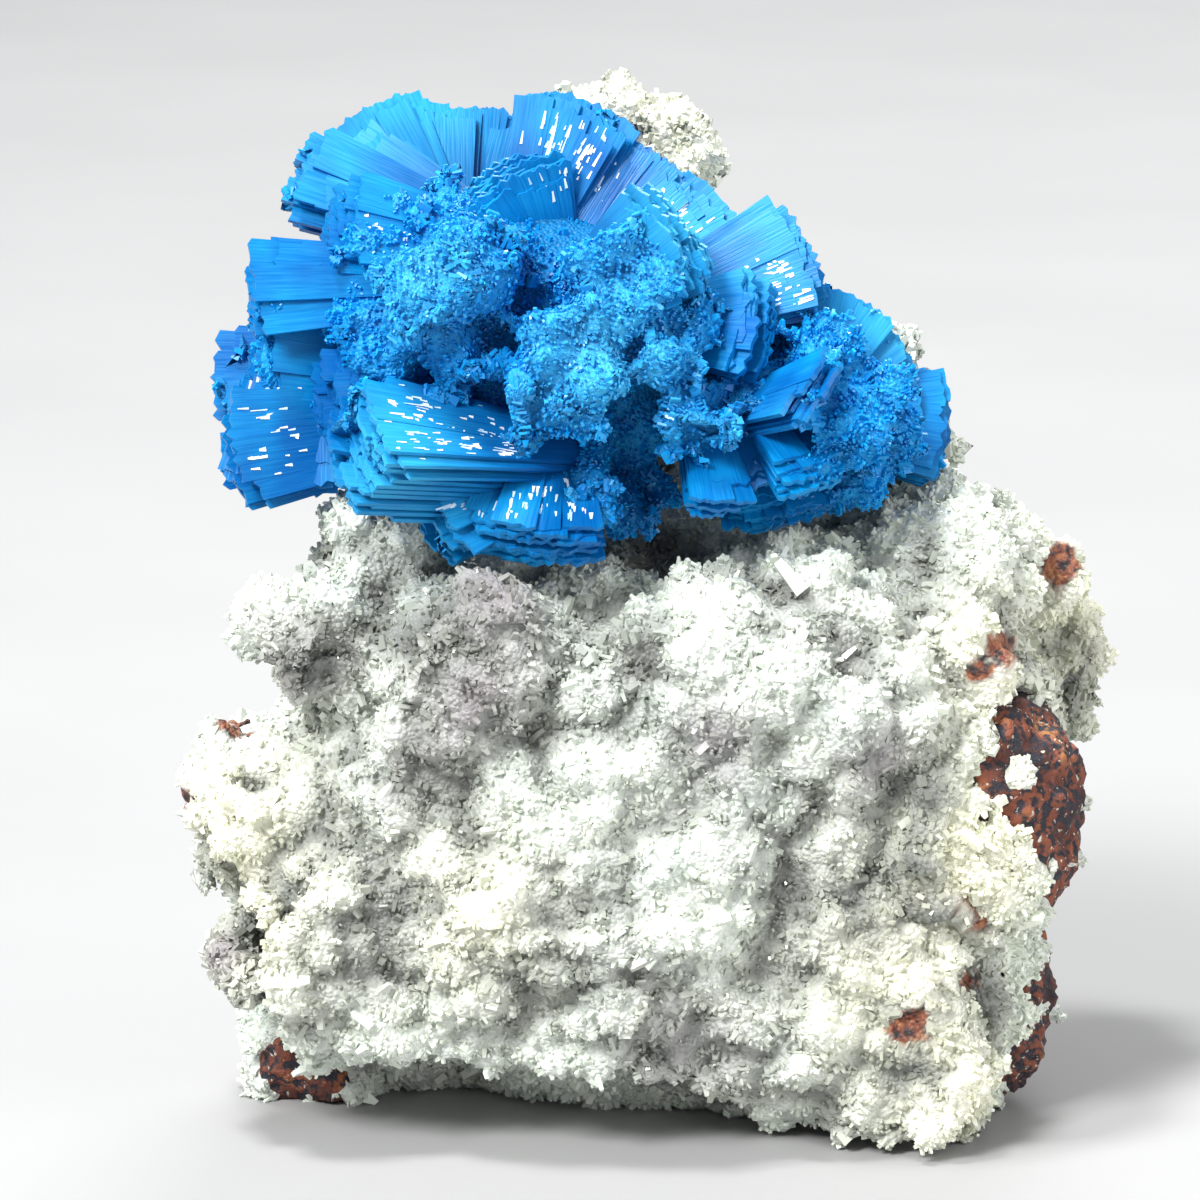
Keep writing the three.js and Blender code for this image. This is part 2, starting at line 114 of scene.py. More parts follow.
def copy_of_solid(node, name):
    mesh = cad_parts[node].data.copy()
    mesh.name = name
    mesh.materials.clear()
    piece = bpy.data.objects.new(name, mesh)
    bpy.context.collection.objects.link(piece)
    only(piece)
    bpy.ops.object.mode_set(mode="EDIT")
    bpy.ops.mesh.select_all(action="SELECT")
    bpy.ops.mesh.remove_doubles(threshold=0.002 * MM)
    bpy.ops.mesh.normals_make_consistent(inside=False)
    bpy.ops.object.mode_set(mode="OBJECT")
    return piece


def apply_modifiers(piece):
    only(piece)
    for modifier in list(piece.modifiers):
        bpy.ops.object.modifier_apply(modifier=modifier.name)


def remesh(piece, voxel, smoothing):
    """Divides a piece into even small faces, and softens the edges between the solid's facets."""
    even = piece.modifiers.new("even", "REMESH")
    even.mode = "VOXEL"
    even.voxel_size = voxel
    soft = piece.modifiers.new("soft", "SMOOTH")
    soft.factor = 0.5
    soft.iterations = smoothing
    apply_modifiers(piece)
    piece.data.shade_smooth()
    print(piece.name, "has", len(piece.data.polygons), "faces")


def displace(piece, kind, scale, strength, middle=0.5, depth=2):
    """Pushes the surface along its normals by a cloudy or a cellular pattern of that scale."""
    texture = bpy.data.textures.new(piece.name + "_" + kind.lower(), kind)
    texture.noise_scale = scale
    if kind == "CLOUDS":
        texture.noise_depth = depth
    push = piece.modifiers.new("push", "DISPLACE")
    push.texture = texture
    push.texture_coords = "LOCAL"
    push.strength = strength
    push.mid_level = middle
    return push


def grow(piece, distance):
    swell = piece.modifiers.new("grow", "DISPLACE")
    swell.strength = distance
    swell.mid_level = 0


# %% [markdown]
# ### Reading and writing points
# Points and normals are read from a mesh and written back in one go. What a material must know about a
# place, such as how deep in a cleft it lies, is stored for each point under a name.

# %% Helpers for reading and writing a mesh
def points_of(piece):
    points = np.empty(len(piece.data.vertices) * 3, dtype=np.float32)
    piece.data.vertices.foreach_get("co", points)
    return points.reshape(-1, 3).astype(np.float64)


def normals_of(piece):
    normals = np.empty(len(piece.data.vertices) * 3, dtype=np.float32)
    piece.data.vertices.foreach_get("normal", normals)
    return normals.reshape(-1, 3).astype(np.float64)


def put_points(piece, points):
    piece.data.vertices.foreach_set("co", points.astype(np.float32).ravel())
    piece.data.update()


def put_number(piece, name, values):
    """Stores one number for each point, which a material reads by its name."""
    layer = piece.data.attributes.new(name, "FLOAT", "POINT")
    layer.data.foreach_set("value", np.asarray(values, dtype=np.float32))


def put_vector(piece, name, values):
    layer = piece.data.attributes.new(name, "FLOAT_VECTOR", "POINT")
    layer.data.foreach_set("vector", np.asarray(values, dtype=np.float32).ravel())


def rest_on_floor(piece):
    points = points_of(piece)
    points[:, 2] = np.maximum(points[:, 2], 0)
    put_points(piece, points)


def cloud(points, scale, seed):
    """Smooth noise from about -1 to 1 at each point."""
    shift = Vector((seed * 17.3, seed * 5.1, seed * 9.7))
    return np.array([noise.noise(Vector(p) / scale + shift) for p in points])


# %% [markdown]
# ## The basalt
# Basalt is the dark lava that the cavity was in. Here it is weathered brick red, and it comes to the
# surface on the right, at the left foot, at the back and underneath. It is grown a little to close the
# gap to the crust, then roughened twice: broad broken faces first and small grains after.

# %% Basalt shape
basalt = copy_of_solid("basalt_matrix", "basalt_rock")
remesh(basalt, 0.24 * MM, 5)
grow(basalt, 0.22 * MM)
displace(basalt, "CLOUDS", 2.2 * MM, 0.9 * MM, 0.5, 3)
displace(basalt, "VORONOI", 0.9 * MM, -0.45 * MM, 0.4)
displace(basalt, "CLOUDS", 0.4 * MM, 0.35 * MM, 0.5, 2)
apply_modifiers(basalt)
rest_on_floor(basalt)

# %% [markdown]
# ## The zeolite crust
# The crust is botryoidal: it swells in rounded lumps with dark clefts between them. A cellular pattern
# gives just that when it is pushed outwards at the middle of each cell. Two scales of cells are laid
# over a slow unevenness. How high each point ends up is kept, so that clefts can be painted darker, as
# painted shade.

# %% Crust shape
crust = copy_of_solid("zeolite_druse", "zeolite_crust")
remesh(crust, 0.27 * MM, 6)
smooth_points = points_of(crust)
smooth_normals = normals_of(crust)
grow(crust, -0.45 * MM)
displace(crust, "CLOUDS", 5 * MM, 1.1 * MM, 0.5, 1)
displace(crust, "VORONOI", 2.5 * MM, -1.5 * MM, 0.42)
displace(crust, "VORONOI", 1.05 * MM, -0.7 * MM, 0.42)
apply_modifiers(crust)

PITS = [  # x, y and z of the middle, the radius and the depth, all in millimetres
    (-8.8, -10.2, 14.6, 1.9, 2.0),
    (-10.6, -10.0, 11.6, 1.0, 0.9),
    (-17.0, -6.0, 11.5, 1.6, 0.9),
    (-9.5, -8.6, 22.6, 2.4, 1.2),
    (-12.6, -7.6, 19.0, 2.2, 1.2),
    (2.6, -11.4, 15.6, 1.6, 1.3),
    (8.6, -10.8, 15.6, 1.5, 1.4),
    (1.6, -10.6, 3.6, 2.0, 1.5),
    (-4.2, -10.8, 6.2, 1.3, 0.7),
    (4.6, -10.4, 0.6, 3.6, 1.3),
    (-5.0, -9.6, 0.4, 3.0, 0.7),
    (-14.6, -4.6, 20.4, 2.0, -1.5),  # a depth below zero swells instead
    (16.6, 2.4, 20.4, 2.2, -1.5),
    (17.6, 1.6, 16.6, 2.0, -0.6),
]


def press_pits(points, normals):
    pressed = points.copy()
    for x, y, z, radius, depth in PITS:
        away = np.linalg.norm(points - np.array((x, y, z)) * MM, axis=1) / (radius * MM)
        share = np.clip(1 - away**2, 0, 1) ** 2
        pressed -= normals * (share * depth * MM)[:, None]
    return pressed


put_points(crust, press_pits(points_of(crust), smooth_normals))
rest_on_floor(crust)
crust_points = points_of(crust)
crust_height = ((crust_points - smooth_points) * smooth_normals).sum(axis=1) / MM
print("crust height from", crust_height.min().round(2), "to", crust_height.max().round(2), "mm")

# %% [markdown]
# ### Where basalt shows through
# Small bare spots on the crust are not worth a solid of their own. Each is a disc in the list below, placed
# as it is seen from the front: to the right of the middle, and up. A point inside a disc counts as bare, and
# a little noise in the distance frays the edge. The other way round, thin crust reaches over the rim of the
# large basalt patch on the right, and only what lies inside the discs of the second list stays uncovered.

# %% Bare spots and bare rock
BARE_SPOTS = [  # to the right, up and the radius, all in millimetres
    (-16.1, 14.8, 0.6),
    (-18.2, 11.9, 0.5),
    (16.3, 21.0, 0.9),
    (12.8, 7.9, 1.0),
    (10.0, 3.2, 0.7),
    (13.6, 17.8, 0.7),
    (12.6, 17.0, 0.5),
    (12.4, 4.9, 0.4),
]
BARE_ROCK = [
    (15.1, 13.2, 2.4),
    (14.0, 15.0, 1.3),
    (16.5, 14.4, 1.3),
    (16.1, 10.6, 1.4),
    (16.4, 8.4, 1.1),
    (16.2, 6.4, 1.0),
    (15.9, 4.4, 1.0),
    (15.4, 2.4, 1.0),
    (14.8, 0.8, 1.0),
    (-13.7, 1.0, 1.7),
]
CRUST_ISLANDS = [(14.2, 12.9, 0.6)]
FRAY = 0.8 * MM
FRONT = 2.5 * MM  # discs reach back to here


def inside(discs, points):
    """1 inside any of the discs and 0 outside, with a frayed edge."""
    seen = np.stack([points[:, 0], points @ np.array(picture_up)], axis=1)
    near = np.full(len(points), 9.0)
    for right, up, radius in discs:
        away = np.linalg.norm(seen - np.array((right, up)) * MM, axis=1) / (radius * MM)
        near = np.minimum(near, away)
    near[points[:, 1] > FRONT] = 9
    close = near < 3
    ragged = near.copy()
    ragged[close] += 0.7 * cloud(points[close], FRAY, 3)
    return np.clip((1.15 - ragged) / 0.25, 0, 1)


put_number(crust, "bare", inside(BARE_SPOTS, crust_points))
put_number(crust, "height", crust_height)

# %% [markdown]
# ### Where the crust is creamy and where its hollows are painted grey
# The druse is mint grey at the upper left and cream on its shoulders and along the right side, and some
# hollows get a painted grey shade. Soft balls say where, and two numbers for each point tell the materials
# how much.

# %% Tints and painted hollow shade
CREAM = [
    (-16.0, -6.0, 12.7, 3.6),
    (-15.0, -8.0, 9.0, 3.0),
    (-7.1, -11.0, 9.8, 3.6),
    (9.3, -10.0, 8.0, 4.0),
    (13.4, -6.5, 19.0, 3.4),
    (12.8, -8.0, 12.0, 3.2),
    (12.2, -9.0, 2.5, 4.0),
    (17.5, 2.5, 18.0, 5.0),
    (0.0, 8.0, 37.0, 3.5),
]
# Painted shade: these balls sit in hollows of the crust, where the material paints a grey shade.
SHADED_HOLLOWS = [
    (-13.5, -7.5, 18.6, 2.0),
    (-5.9, -8.5, 22.2, 2.4),
    (-6.7, -10.5, 18.4, 2.3),
    (-9.0, -9.5, 15.0, 1.8),
    (2.4, -10.5, 16.4, 1.8),
    (1.5, -10.0, 4.0, 2.4),
    (9.0, -10.0, 15.4, 1.8),
    (-16.5, -6.5, 7.6, 1.8),
]


def share_of(balls, points):
    """How much a point lies in the soft balls, from 0 to 1."""
    total = np.zeros(len(points))
    for x, y, z, radius in balls:
        away = np.linalg.norm(points - np.array((x, y, z)) * MM, axis=1) / (radius * MM)
        total += np.exp(-(away**2))
    return np.minimum(total, 1)


def tint_and_shade_hollows(piece, places, copies=1):
    put_number(piece, "cream", np.repeat(share_of(CREAM, places), copies))
    put_number(piece, "smoke", np.repeat(share_of(SHADED_HOLLOWS, places), copies))


tint_and_shade_hollows(crust, crust_points)

# %% [markdown]
# ### Thin crust over the rock
# This film is a copy of the basalt. Where the rock is bare the film lies just under the rock's skin, and
# elsewhere on the front it stands a little above it, so the two surfaces cross along a ragged line.

# %% Film
FILM_HEIGHT = 0.35 * MM
FILM_DEPTH = 0.4 * MM


def film_cover(points):
    """1 where thin crust lies over the basalt: on the front, but not on the bare rock."""
    bare = np.maximum(inside(BARE_ROCK, points) - inside(CRUST_ISLANDS, points), 0)
    return (points[:, 1] < 1.5 * MM) * (1 - bare)


film = basalt.copy()
film.data = basalt.data.copy()
film.name = film.data.name = "zeolite_film"
bpy.context.collection.objects.link(film)
film_points = points_of(film)
film_share = film_cover(film_points)
film_step = (FILM_HEIGHT + FILM_DEPTH) * film_share - FILM_DEPTH
put_points(film, film_points + normals_of(film) * film_step[:, None])
put_number(film, "bare", np.zeros(len(film_points)))
put_number(film, "height", film_share * 0.3)
tint_and_shade_hollows(film, film_points)
rest_on_floor(film)
print("the film covers", round(film_share.mean() * 100), "% of the basalt")

# %% [markdown]
# ## One grain of the druse
# A druse grain is a tiny flat crystal with a slanting end, less than a third of a millimetre across. One
# is modelled from a cube: the top face is drawn in and slid to one side, which gives the slant.
# It has so few faces because tens of thousands of copies are made of it.


# %% Grain
def new_cube(name, size):
    bpy.ops.object.select_all(action="DESELECT")
    bpy.ops.mesh.primitive_cube_add(size=1, location=(0, 0, 0), scale=size)
    piece = bpy.context.active_object
    piece.name = name
    return piece


def select_faces(piece, wanted):
    """Selects, in edit mode, the faces for which wanted(face) is true."""
    bpy.ops.object.mode_set(mode="OBJECT")
    for vertex in piece.data.vertices:
        vertex.select = False
    for edge in piece.data.edges:
        edge.select = False
    for face in piece.data.polygons:
        face.select = bool(wanted(face))
    bpy.ops.object.mode_set(mode="EDIT")
    bpy.ops.mesh.select_mode(type="FACE")


grain = new_cube("grain", (1, 0.5, 1))
select_faces(grain, lambda face: face.normal.z > 0.9)
bpy.ops.transform.resize(value=(0.5, 0.6, 1))
bpy.ops.transform.translate(value=(0.16, 0, 0.12))
bpy.ops.object.mode_set(mode="OBJECT")
print("a grain has", len(grain.data.polygons), "faces")


# %% [markdown]
# ### Many copies in one mesh
# Copies that are joined straight from arrays are quick to make and stay in the exported model. Each copy
# gets a place, three axes and a size. A blade keeps the shape of its tip whatever its length: what the
# master has beyond y = 1 is scaled by the blade's width and not by its length. The faces stay flat, because
# a crystal has flat faces, and smooth shading would turn it into a bead.


# %% Joined copies
def joined_copies(name, master, places, axes, sizes, ragged=None):
    """One mesh with a copy of the master at each place: axes[i] holds that copy's x, y and z axes as rows."""
    local = points_of(master)
    shaft = local.copy()
    shaft[:, 1] = np.minimum(local[:, 1], 1)
    tip = np.tile(np.maximum(local[:, 1] - 1, 0), (len(places), 1))
    if ragged is not None:  # every column of points gets a reach of its own
        columns = np.unique(local[:, 0].round(3), return_inverse=True)[1]
        tip *= ragged.uniform(0, 2, (len(places), columns.max() + 1))[:, columns]
    scaled = shaft[None] * sizes[:, None]
    scaled[:, :, 1] += tip * sizes[:, None, 0]
    points = np.einsum("nvk,nkj->nvj", scaled, axes) + places[:, None]

    faces = [np.array(face.vertices) for face in master.data.polygons]
    counts = np.array([len(face) for face in faces])
    corners = np.concatenate(faces)
    copies, size = len(places), len(local)
    all_corners = (corners[None] + np.arange(copies)[:, None] * size).ravel()
    starts = np.concatenate(([0], np.cumsum(np.tile(counts, copies))[:-1]))

    mesh = bpy.data.meshes.new(name)
    mesh.vertices.add(copies * size)
    mesh.vertices.foreach_set("co", points.astype(np.float32).ravel())
    mesh.loops.add(len(all_corners))
    mesh.loops.foreach_set("vertex_index", all_corners.astype(np.int32))
    mesh.polygons.add(copies * len(faces))
    mesh.polygons.foreach_set("loop_start", starts.astype(np.int32))
    mesh.update(calc_edges=True)
    mesh.validate()
    mesh.shade_flat()
    piece = bpy.data.objects.new(name, mesh)
    bpy.context.collection.objects.link(piece)
    print(name, "holds", copies, "copies and", len(mesh.polygons), "faces")
    return piece, scaled


# %% [markdown]
# ### Scattering over a surface
# A face gets copies in proportion to its area. The surface's own normal says which way is out, and each
# copy leans from it by a random angle, as crystals in a druse do.


# %% Scatter
def spread_over(piece, count, random):
    """Random points on a piece, with the face that each is on and its normal."""
    mesh = piece.data
    mesh.calc_loop_triangles()
    triangles = np.empty(len(mesh.loop_triangles) * 3, dtype=np.int32)
    mesh.loop_triangles.foreach_get("vertices", triangles)
    triangles = triangles.reshape(-1, 3)
    points = points_of(piece)
    a, b, c = (points[triangles[:, k]] for k in range(3))
    cross = np.cross(b - a, c - a)
    area = np.linalg.norm(cross, axis=1)
    chosen = random.choice(len(triangles), size=count, p=area / area.sum())
    u, v = random.random(count), random.random(count)
    over = u + v > 1
    u[over], v[over] = 1 - u[over], 1 - v[over]
    places = a[chosen] + u[:, None] * (b - a)[chosen] + v[:, None] * (c - a)[chosen]
    normals = cross[chosen] / area[chosen][:, None]
    return places, normals, triangles[chosen]


def unit(vectors):
    return vectors / np.linalg.norm(vectors, axis=1)[:, None]


def tree_of(piece):
    """A search tree of the piece's faces, for rays and nearest points."""
    points = [tuple(p) for p in points_of(piece)]
    return BVHTree.FromPolygons(points, [tuple(face.vertices) for face in piece.data.polygons])


def leaning_axes(normals, lean, random):
    """Three axes for each copy: the third leans from the normal, and the other two turn freely about it."""
    up = unit(normals + lean * random.normal(size=normals.shape))
    side = unit(np.cross(up, random.normal(size=normals.shape)))
    return np.stack((side, np.cross(up, side), up), axis=1)


# %% [markdown]
# ## The druse grains
# The grains cover the outside of the crust and the film. None grows on the wall against the basalt, under
# the base or on bare rock, and on the film only those are kept that nothing covers. Most are alike in size,
# and a few are larger and clearer and make the druse sparkle: they are smoother, and their colour is painted
# brighter than white, a painted glint.

# %% Grains on the crust
GRAINS_ON_CRUST = 44500
GRAINS_ON_FILM = 4000
GRAINS_IN_A_PIECE = 15500
GRAIN_WIDTH = 0.22 * MM

random = np.random.default_rng(20)
basalt_tree = tree_of(basalt)
places, normals, corners = spread_over(crust, int(GRAINS_ON_CRUST * 1.7), random)
height = crust_height[corners].mean(axis=1)
from_basalt = np.array([basalt_tree.find_nearest(tuple(p))[3] for p in places]) / MM
outside = (from_basalt > 0.35) & (places[:, 2] > 0.25 * MM)
covered = inside(BARE_SPOTS, places) < 0.4
wanted = random.random(len(places)) < np.clip(0.95 + 0.15 * height, 0.7, 1)
kept = np.flatnonzero(outside & covered & wanted)[:GRAINS_ON_CRUST]
print("kept", len(kept), "of", len(places), "places on the crust")

film_places, film_normals, film_corners = spread_over(film, GRAINS_ON_FILM * 20, random)
crust_tree = tree_of(crust)
on_film = []
for i in np.flatnonzero(film_share[film_corners].min(axis=1) > 0.4):
    outward = Vector(film_normals[i])
    if crust_tree.ray_cast(Vector(film_places[i]) + outward * 0.05 * MM, outward, 6 * MM)[0] is None:
        on_film.append(i)
print(len(on_film), "places on the film lie open")
on_film = np.array(on_film)[:GRAINS_ON_FILM]
print("kept", len(on_film), "places on the film")
places = np.concatenate([places[kept], film_places[on_film]])
normals = np.concatenate([normals[kept], film_normals[on_film]])
height = np.concatenate([height[kept], np.full(len(on_film), 0.3)])
from_left = np.argsort(places[:, 0])  # so that each piece covers its own part, from left to right
places, normals, height = places[from_left], normals[from_left], height[from_left]

axes = leaning_axes(normals, 0.5, random)
width = random.lognormal(math.log(GRAIN_WIDTH / MM), 0.3, len(places)) * MM
shade = random.random(len(places))
width *= np.where(shade > 0.975, 1.5, 1)
sizes = np.stack([width, width * 1.1, width * 1.25], axis=1)

druse_grains = []
for start in range(0, len(places), GRAINS_IN_A_PIECE):
    part = slice(start, start + GRAINS_IN_A_PIECE)
    name = f"zeolite_grains_{start // GRAINS_IN_A_PIECE + 1}"
    piece, _ = joined_copies(name, grain, places[part], axes[part], sizes[part])
    per_grain = len(grain.data.vertices)
    put_number(piece, "height", np.repeat(height[part], per_grain))
    put_number(piece, "shade", np.repeat(shade[part], per_grain))
    tint_and_shade_hollows(piece, places[part], per_grain)
    rest_on_floor(piece)
    druse_grains.append(piece)

# %% [markdown]
# ## The cavansite rosette
# Cavansite grows in sheaves: each is a bundle of flat blades that spread from a common root, with striped
# sides and uneven ends. The solid holds one flat fan for each sheaf. Here a fan is filled with blades, a few
# rows across its width and many thin layers through its thickness. The fans are listed as in the solid.

# %% Fans
# Each fan: its root, the middle of its tips, the way its flat face looks, its width and its thickness
FANS = [
    # upper left, at the back
    ((-5.1, 0, 33.6), (-13.9, 1.5, 36.9), (0, -0.8, 0.6), 3.2, 2.3),
    ((-5.1, 1, 33.8), (-12.3, 3.2, 37.4), (0.1, -0.9, 0.4), 3.0, 1.9),
    ((-7.1, 2, 33.2), (-10.8, 4.0, 39.2), (0.2, -0.9, 0.4), 3.4, 1.9),
    ((-7.5, 2.5, 33.0), (-8.5, 4.5, 39.2), (0, -0.95, 0.3), 3.6, 1.9),
    ((-6.7, 3, 33.0), (-6.1, 4.8, 39.2), (0, -0.95, 0.3), 3.4, 1.9),
    # the ridge that falls from the top to the right
    ((-4.3, 0, 33.6), (-2.2, 1.0, 39.9), (-0.1, -0.8, 0.6), 4.4, 2.4),
    ((-3.5, -1, 32.4), (0.8, 0.8, 37.6), (0.1, -0.8, 0.6), 4.0, 2.4),
    ((-2.3, -2, 31.9), (3.5, 0, 35.7), (0.1, -0.8, 0.6), 3.8, 2.4),
    ((-1.1, -2, 30.7), (7.0, -1.8, 34.0), (0, -0.9, 0.4), 4.2, 2.6),
    # the broad left mass
    ((-3.5, -1, 32.6), (-15.6, -3, 32.9), (0, -0.9, 0.4), 3.0, 2.8),
    ((-3.5, 0, 33.0), (-12.4, -2.2, 35.1), (0, -0.8, 0.6), 3.8, 2.6),
    ((-3.5, 0, 33.0), (-9.0, -1.4, 36.4), (0, -0.8, 0.6), 4.0, 2.6),
    ((-3.5, 0, 33.0), (-5.5, -1.4, 37.4), (0, -0.9, 0.4), 4.2, 2.6),
    ((-3.5, -2, 29.5), (-7.9, -7, 31.0), (0.3, -0.7, 0.6), 3.6, 2.4),
    ((-3.5, -2, 30.0), (-9.9, -6.4, 32.5), (-0.3, -0.8, 0.5), 3.8, 2.4),
    ((-3.5, -2, 29.5), (-12.0, -5.0, 31.0), (-0.2, -0.9, 0.3), 3.8, 2.4),
    ((-3.5, -2, 28.8), (-12.7, -5.4, 28.4), (-0.1, -0.9, 0.4), 3.8, 2.4),
    # the left column
    ((-5.9, -1, 28.5), (-15.4, -2.6, 30.6), (0, -0.9, 0.3), 3.6, 2.8),
    ((-5.9, -1, 27.5), (-16.4, -3.8, 26.8), (0, -0.95, 0.2), 4.2, 3.1),
    ((-6.7, 1, 28.9), (-17.2, 0.4, 28.6), (0, -0.9, 0.4), 2.8, 2.4),
    # only here: the striped front of that column, whose ends point down
    ((-13.0, -1.8, 32.5), (-14.2, -4.2, 24.7), (-0.1, -0.95, 0.1), 4.2, 1.6),
    # the plate and the teeth along the lower edge
    ((-2.3, -4, 25.5), (-11.5, -8.8, 28.0), (-0.2, -0.65, 0.75), 4.2, 3.8),
    ((-2.3, -4, 26.0), (-8.5, -7.2, 24.6), (-0.2, -0.8, 0.5), 3.4, 2.3),
    ((-3.5, -3, 27.2), (-4.3, -8.8, 23.4), (0, -0.7, 0.7), 4.6, 2.3),
    ((-3.0, -3, 27.0), (-1.9, -8.4, 25.0), (0, -0.6, 0.8), 3.4, 2.1),
    ((-1.9, -2, 27.4), (-0.5, -5.4, 23.6), (0, -0.8, 0.6), 2.6, 1.9),
    ((-1.0, -2, 27.4), (1.0, -5.0, 24.3), (0.1, -0.8, 0.6), 2.4, 1.1),
    ((1.7, -3, 28.9), (2.9, -8.2, 24.9), (0.3, -0.7, 0.6), 1.9, 1.5),
    ((2.1, -3, 28.9), (4.6, -6.6, 25.5), (0.2, -0.8, 0.5), 2.2, 1.3),
    ((3.7, -3, 28.9), (6.7, -7.6, 25.9), (0.2, -0.7, 0.6), 2.2, 1.4),
    ((3.7, -2, 27.4), (5.0, -5.4, 24.0), (0, -0.8, 0.6), 3.0, 2.1),
    ((4.7, -2, 27.4), (7.1, -5.0, 24.1), (0.2, -0.8, 0.6), 2.4, 1.2),
    # the middle of the front
    ((-3.5, -3, 31.3), (1.6, -6.2, 36.0), (0.1, -0.9, 0.3), 3.8, 2.4),
    ((-3.3, -3, 31.0), (-0.3, -8.6, 34.4), (0.3, -0.7, 0.6), 4.2, 3.8),
    ((-2.9, -2, 31.1), (-2.5, -10.8, 31.2), (0.9, -0.1, 0.4), 4.6, 3.5),
    ((-3.2, -2, 30.5), (-3.5, -10.4, 28.8), (-0.2, 0.1, 0.95), 4.4, 3.5),
    ((-4.3, -1, 31.3), (-8.5, -8.6, 34.2), (-0.6, -0.2, 0.8), 4.2, 3.5),
    ((-4.3, -1, 31.3), (-6.3, -7.0, 35.6), (-0.2, -0.7, 0.7), 4.2, 2.4),
    ((-0.3, -3, 31.3), (1.3, -8.4, 30.2), (0.5, -0.3, 0.8), 3.6, 2.3),
    ((-0.3, -3, 31.3), (2.9, -6.4, 32.2), (0.4, -0.8, 0.4), 3.8, 2.3),
    ((-0.3, -2, 31.0), (5.0, -5.0, 31.6), (0.2, -0.9, 0.4), 3.8, 2.3),
    # the lobe on the right
    ((6.1, -1, 27.6), (8.1, 0, 32.4), (0, -0.95, 0.3), 3.6, 2.3),
    ((6.1, -1, 27.6), (9.7, 0.2, 31.0), (0, -0.95, 0.3), 3.2, 2.3),
    ((6.1, -1, 27.6), (10.8, 0.2, 29.2), (0, -0.95, 0.3), 3.0, 2.1),
    ((6.1, -1, 27.4), (12.3, 0.4, 27.6), (0, -0.9, 0.4), 2.6, 1.9),
    ((6.1, -1, 27.2), (12.2, -0.6, 26.2), (0, -0.9, 0.4), 2.6, 1.9),
    ((6.1, -1, 27.2), (10.7, -2.6, 25.0), (0.1, -0.9, 0.4), 3.2, 2.3),
    ((6.1, -1.5, 27.2), (8.7, -4.4, 24.4), (0.1, -0.8, 0.6), 3.2, 2.3),
    ((6.1, -1, 27.6), (8.5, -6.6, 29.6), (0.7, -0.2, 0.7), 4.0, 3.5),
    ((6.1, -1, 27.6), (7.3, -4.8, 31.4), (0.2, -0.7, 0.7), 3.8, 2.4),
    ((6.1, -1, 27.4), (10.1, -5.4, 27.8), (0.7, -0.6, 0.4), 3.6, 2.4),
    ((6.1, -1, 27.2), (8.1, -7.2, 27.0), (0.2, -0.2, 0.95), 3.8, 2.4),
    ((2.9, -3, 27.6), (7.0, -8.6, 30.2), (-0.3, -0.6, 0.75), 2.8, 1.2),
    ((3.7, -3, 29.2), (2.2, -9.0, 27.8), (-0.1, -0.5, 0.85), 3.8, 2.3),
    # the back
    ((-5, 1, 32), (-12.0, 5.4, 34.2), (-0.4, 0.6, 0.7), 4.0, 2.4),
    ((-5, 1, 30), (-12.6, 4.8, 29.6), (-0.4, 0.8, 0.4), 4.0, 2.4),
    ((-5, 1, 29), (-10.4, 4.8, 26.0), (-0.2, 0.9, 0.3), 3.8, 2.4),
    ((-5, 1, 31), (-8.2, 7.6, 32.6), (-0.7, 0.2, 0.7), 4.2, 3.5),
    ((-5, 1, 30), (-7.0, 7.4, 28.2), (-0.6, 0.4, 0.7), 4.0, 2.4),
    ((-4, 1, 32), (-6.6, 6.8, 36.0), (-0.3, 0.6, 0.7), 4.0, 2.4),
    ((0, 0, 31), (5.4, 3.6, 33.0), (0.3, 0.8, 0.5), 3.8, 2.4),
    ((5, 0, 28), (7.4, 4.4, 30.0), (0.3, 0.6, 0.7), 3.6, 2.3),
]
FAN_SHIFT = np.array((-0.273, 0.813, 0))  # from the fans' own zero to the frame's, in millimetres
ROOT_SHARE = 0.3  # width of a fan at its root, as a share of its width at the tips

# %% [markdown]
# ### One blade
# A blade is a flat prism that narrows towards its root and ends in a few uneven teeth, like a torn edge.
# It starts as a cube one unit long. Five bisect cuts divide it lengthwise, and then each column of points
# at the far end is pulled out by its own amount. The copies change these amounts, so no two rims are alike.

# %% Blade
TOOTH_REACH = (0.02, 0.07, 0.03, 0.1, 0.05, 0.09, 0.03)  # of each column of points, from left to right

blade = new_cube("blade", (1, 1, 1))
bpy.ops.object.mode_set(mode="EDIT")
bpy.ops.mesh.select_all(action="SELECT")
bpy.ops.transform.translate(value=(0, 0.5, 0))
teeth = len(TOOTH_REACH) - 1
for cut in range(1, teeth):
    bpy.ops.mesh.select_all(action="SELECT")
    bpy.ops.mesh.bisect(plane_co=(cut / teeth - 0.5, 0, 0), plane_no=(1, 0, 0))
select_faces(blade, lambda face: face.normal.y < -0.9)
bpy.ops.transform.resize(value=(0.5, 1, 0.7))
bpy.ops.object.mode_set(mode="OBJECT")
for vertex in blade.data.vertices:
    if vertex.co.y > 0.9:
        vertex.co.y += TOOTH_REACH[round((vertex.co.x + 0.5) * teeth)]
        vertex.co.z *= 0.8
print("a blade has", len(blade.data.polygons), "faces")

# %% [markdown]
# ### A sheaf of blades
# The blades of a sheaf stand side by side across its width and in layers through its thickness, and spread
# from the root. They overlap, so that they read as one broad striped plate. A whole layer ends a little
# short here and there, and so does a single blade, which makes the stepped and ragged rim.


# %% Sheaf
STEP = 0.09  # how far a whole layer may end short, as a share of the sheaf's length
JAG = 0.14  # how far a single blade may end short
ROUND_END = 0.1  # how far the outermost blades end short, which rounds a fan's rim
BLADE_WIDTH = 0.95  # in millimetres, as the thickness is
BLADE_THICKNESS = 0.19
MESS = 0.012  # how far a blade turns away from its place in the sheaf
STRIPES_APART = 50  # how far apart blades may lie in the pattern of stripes, so that each has its own


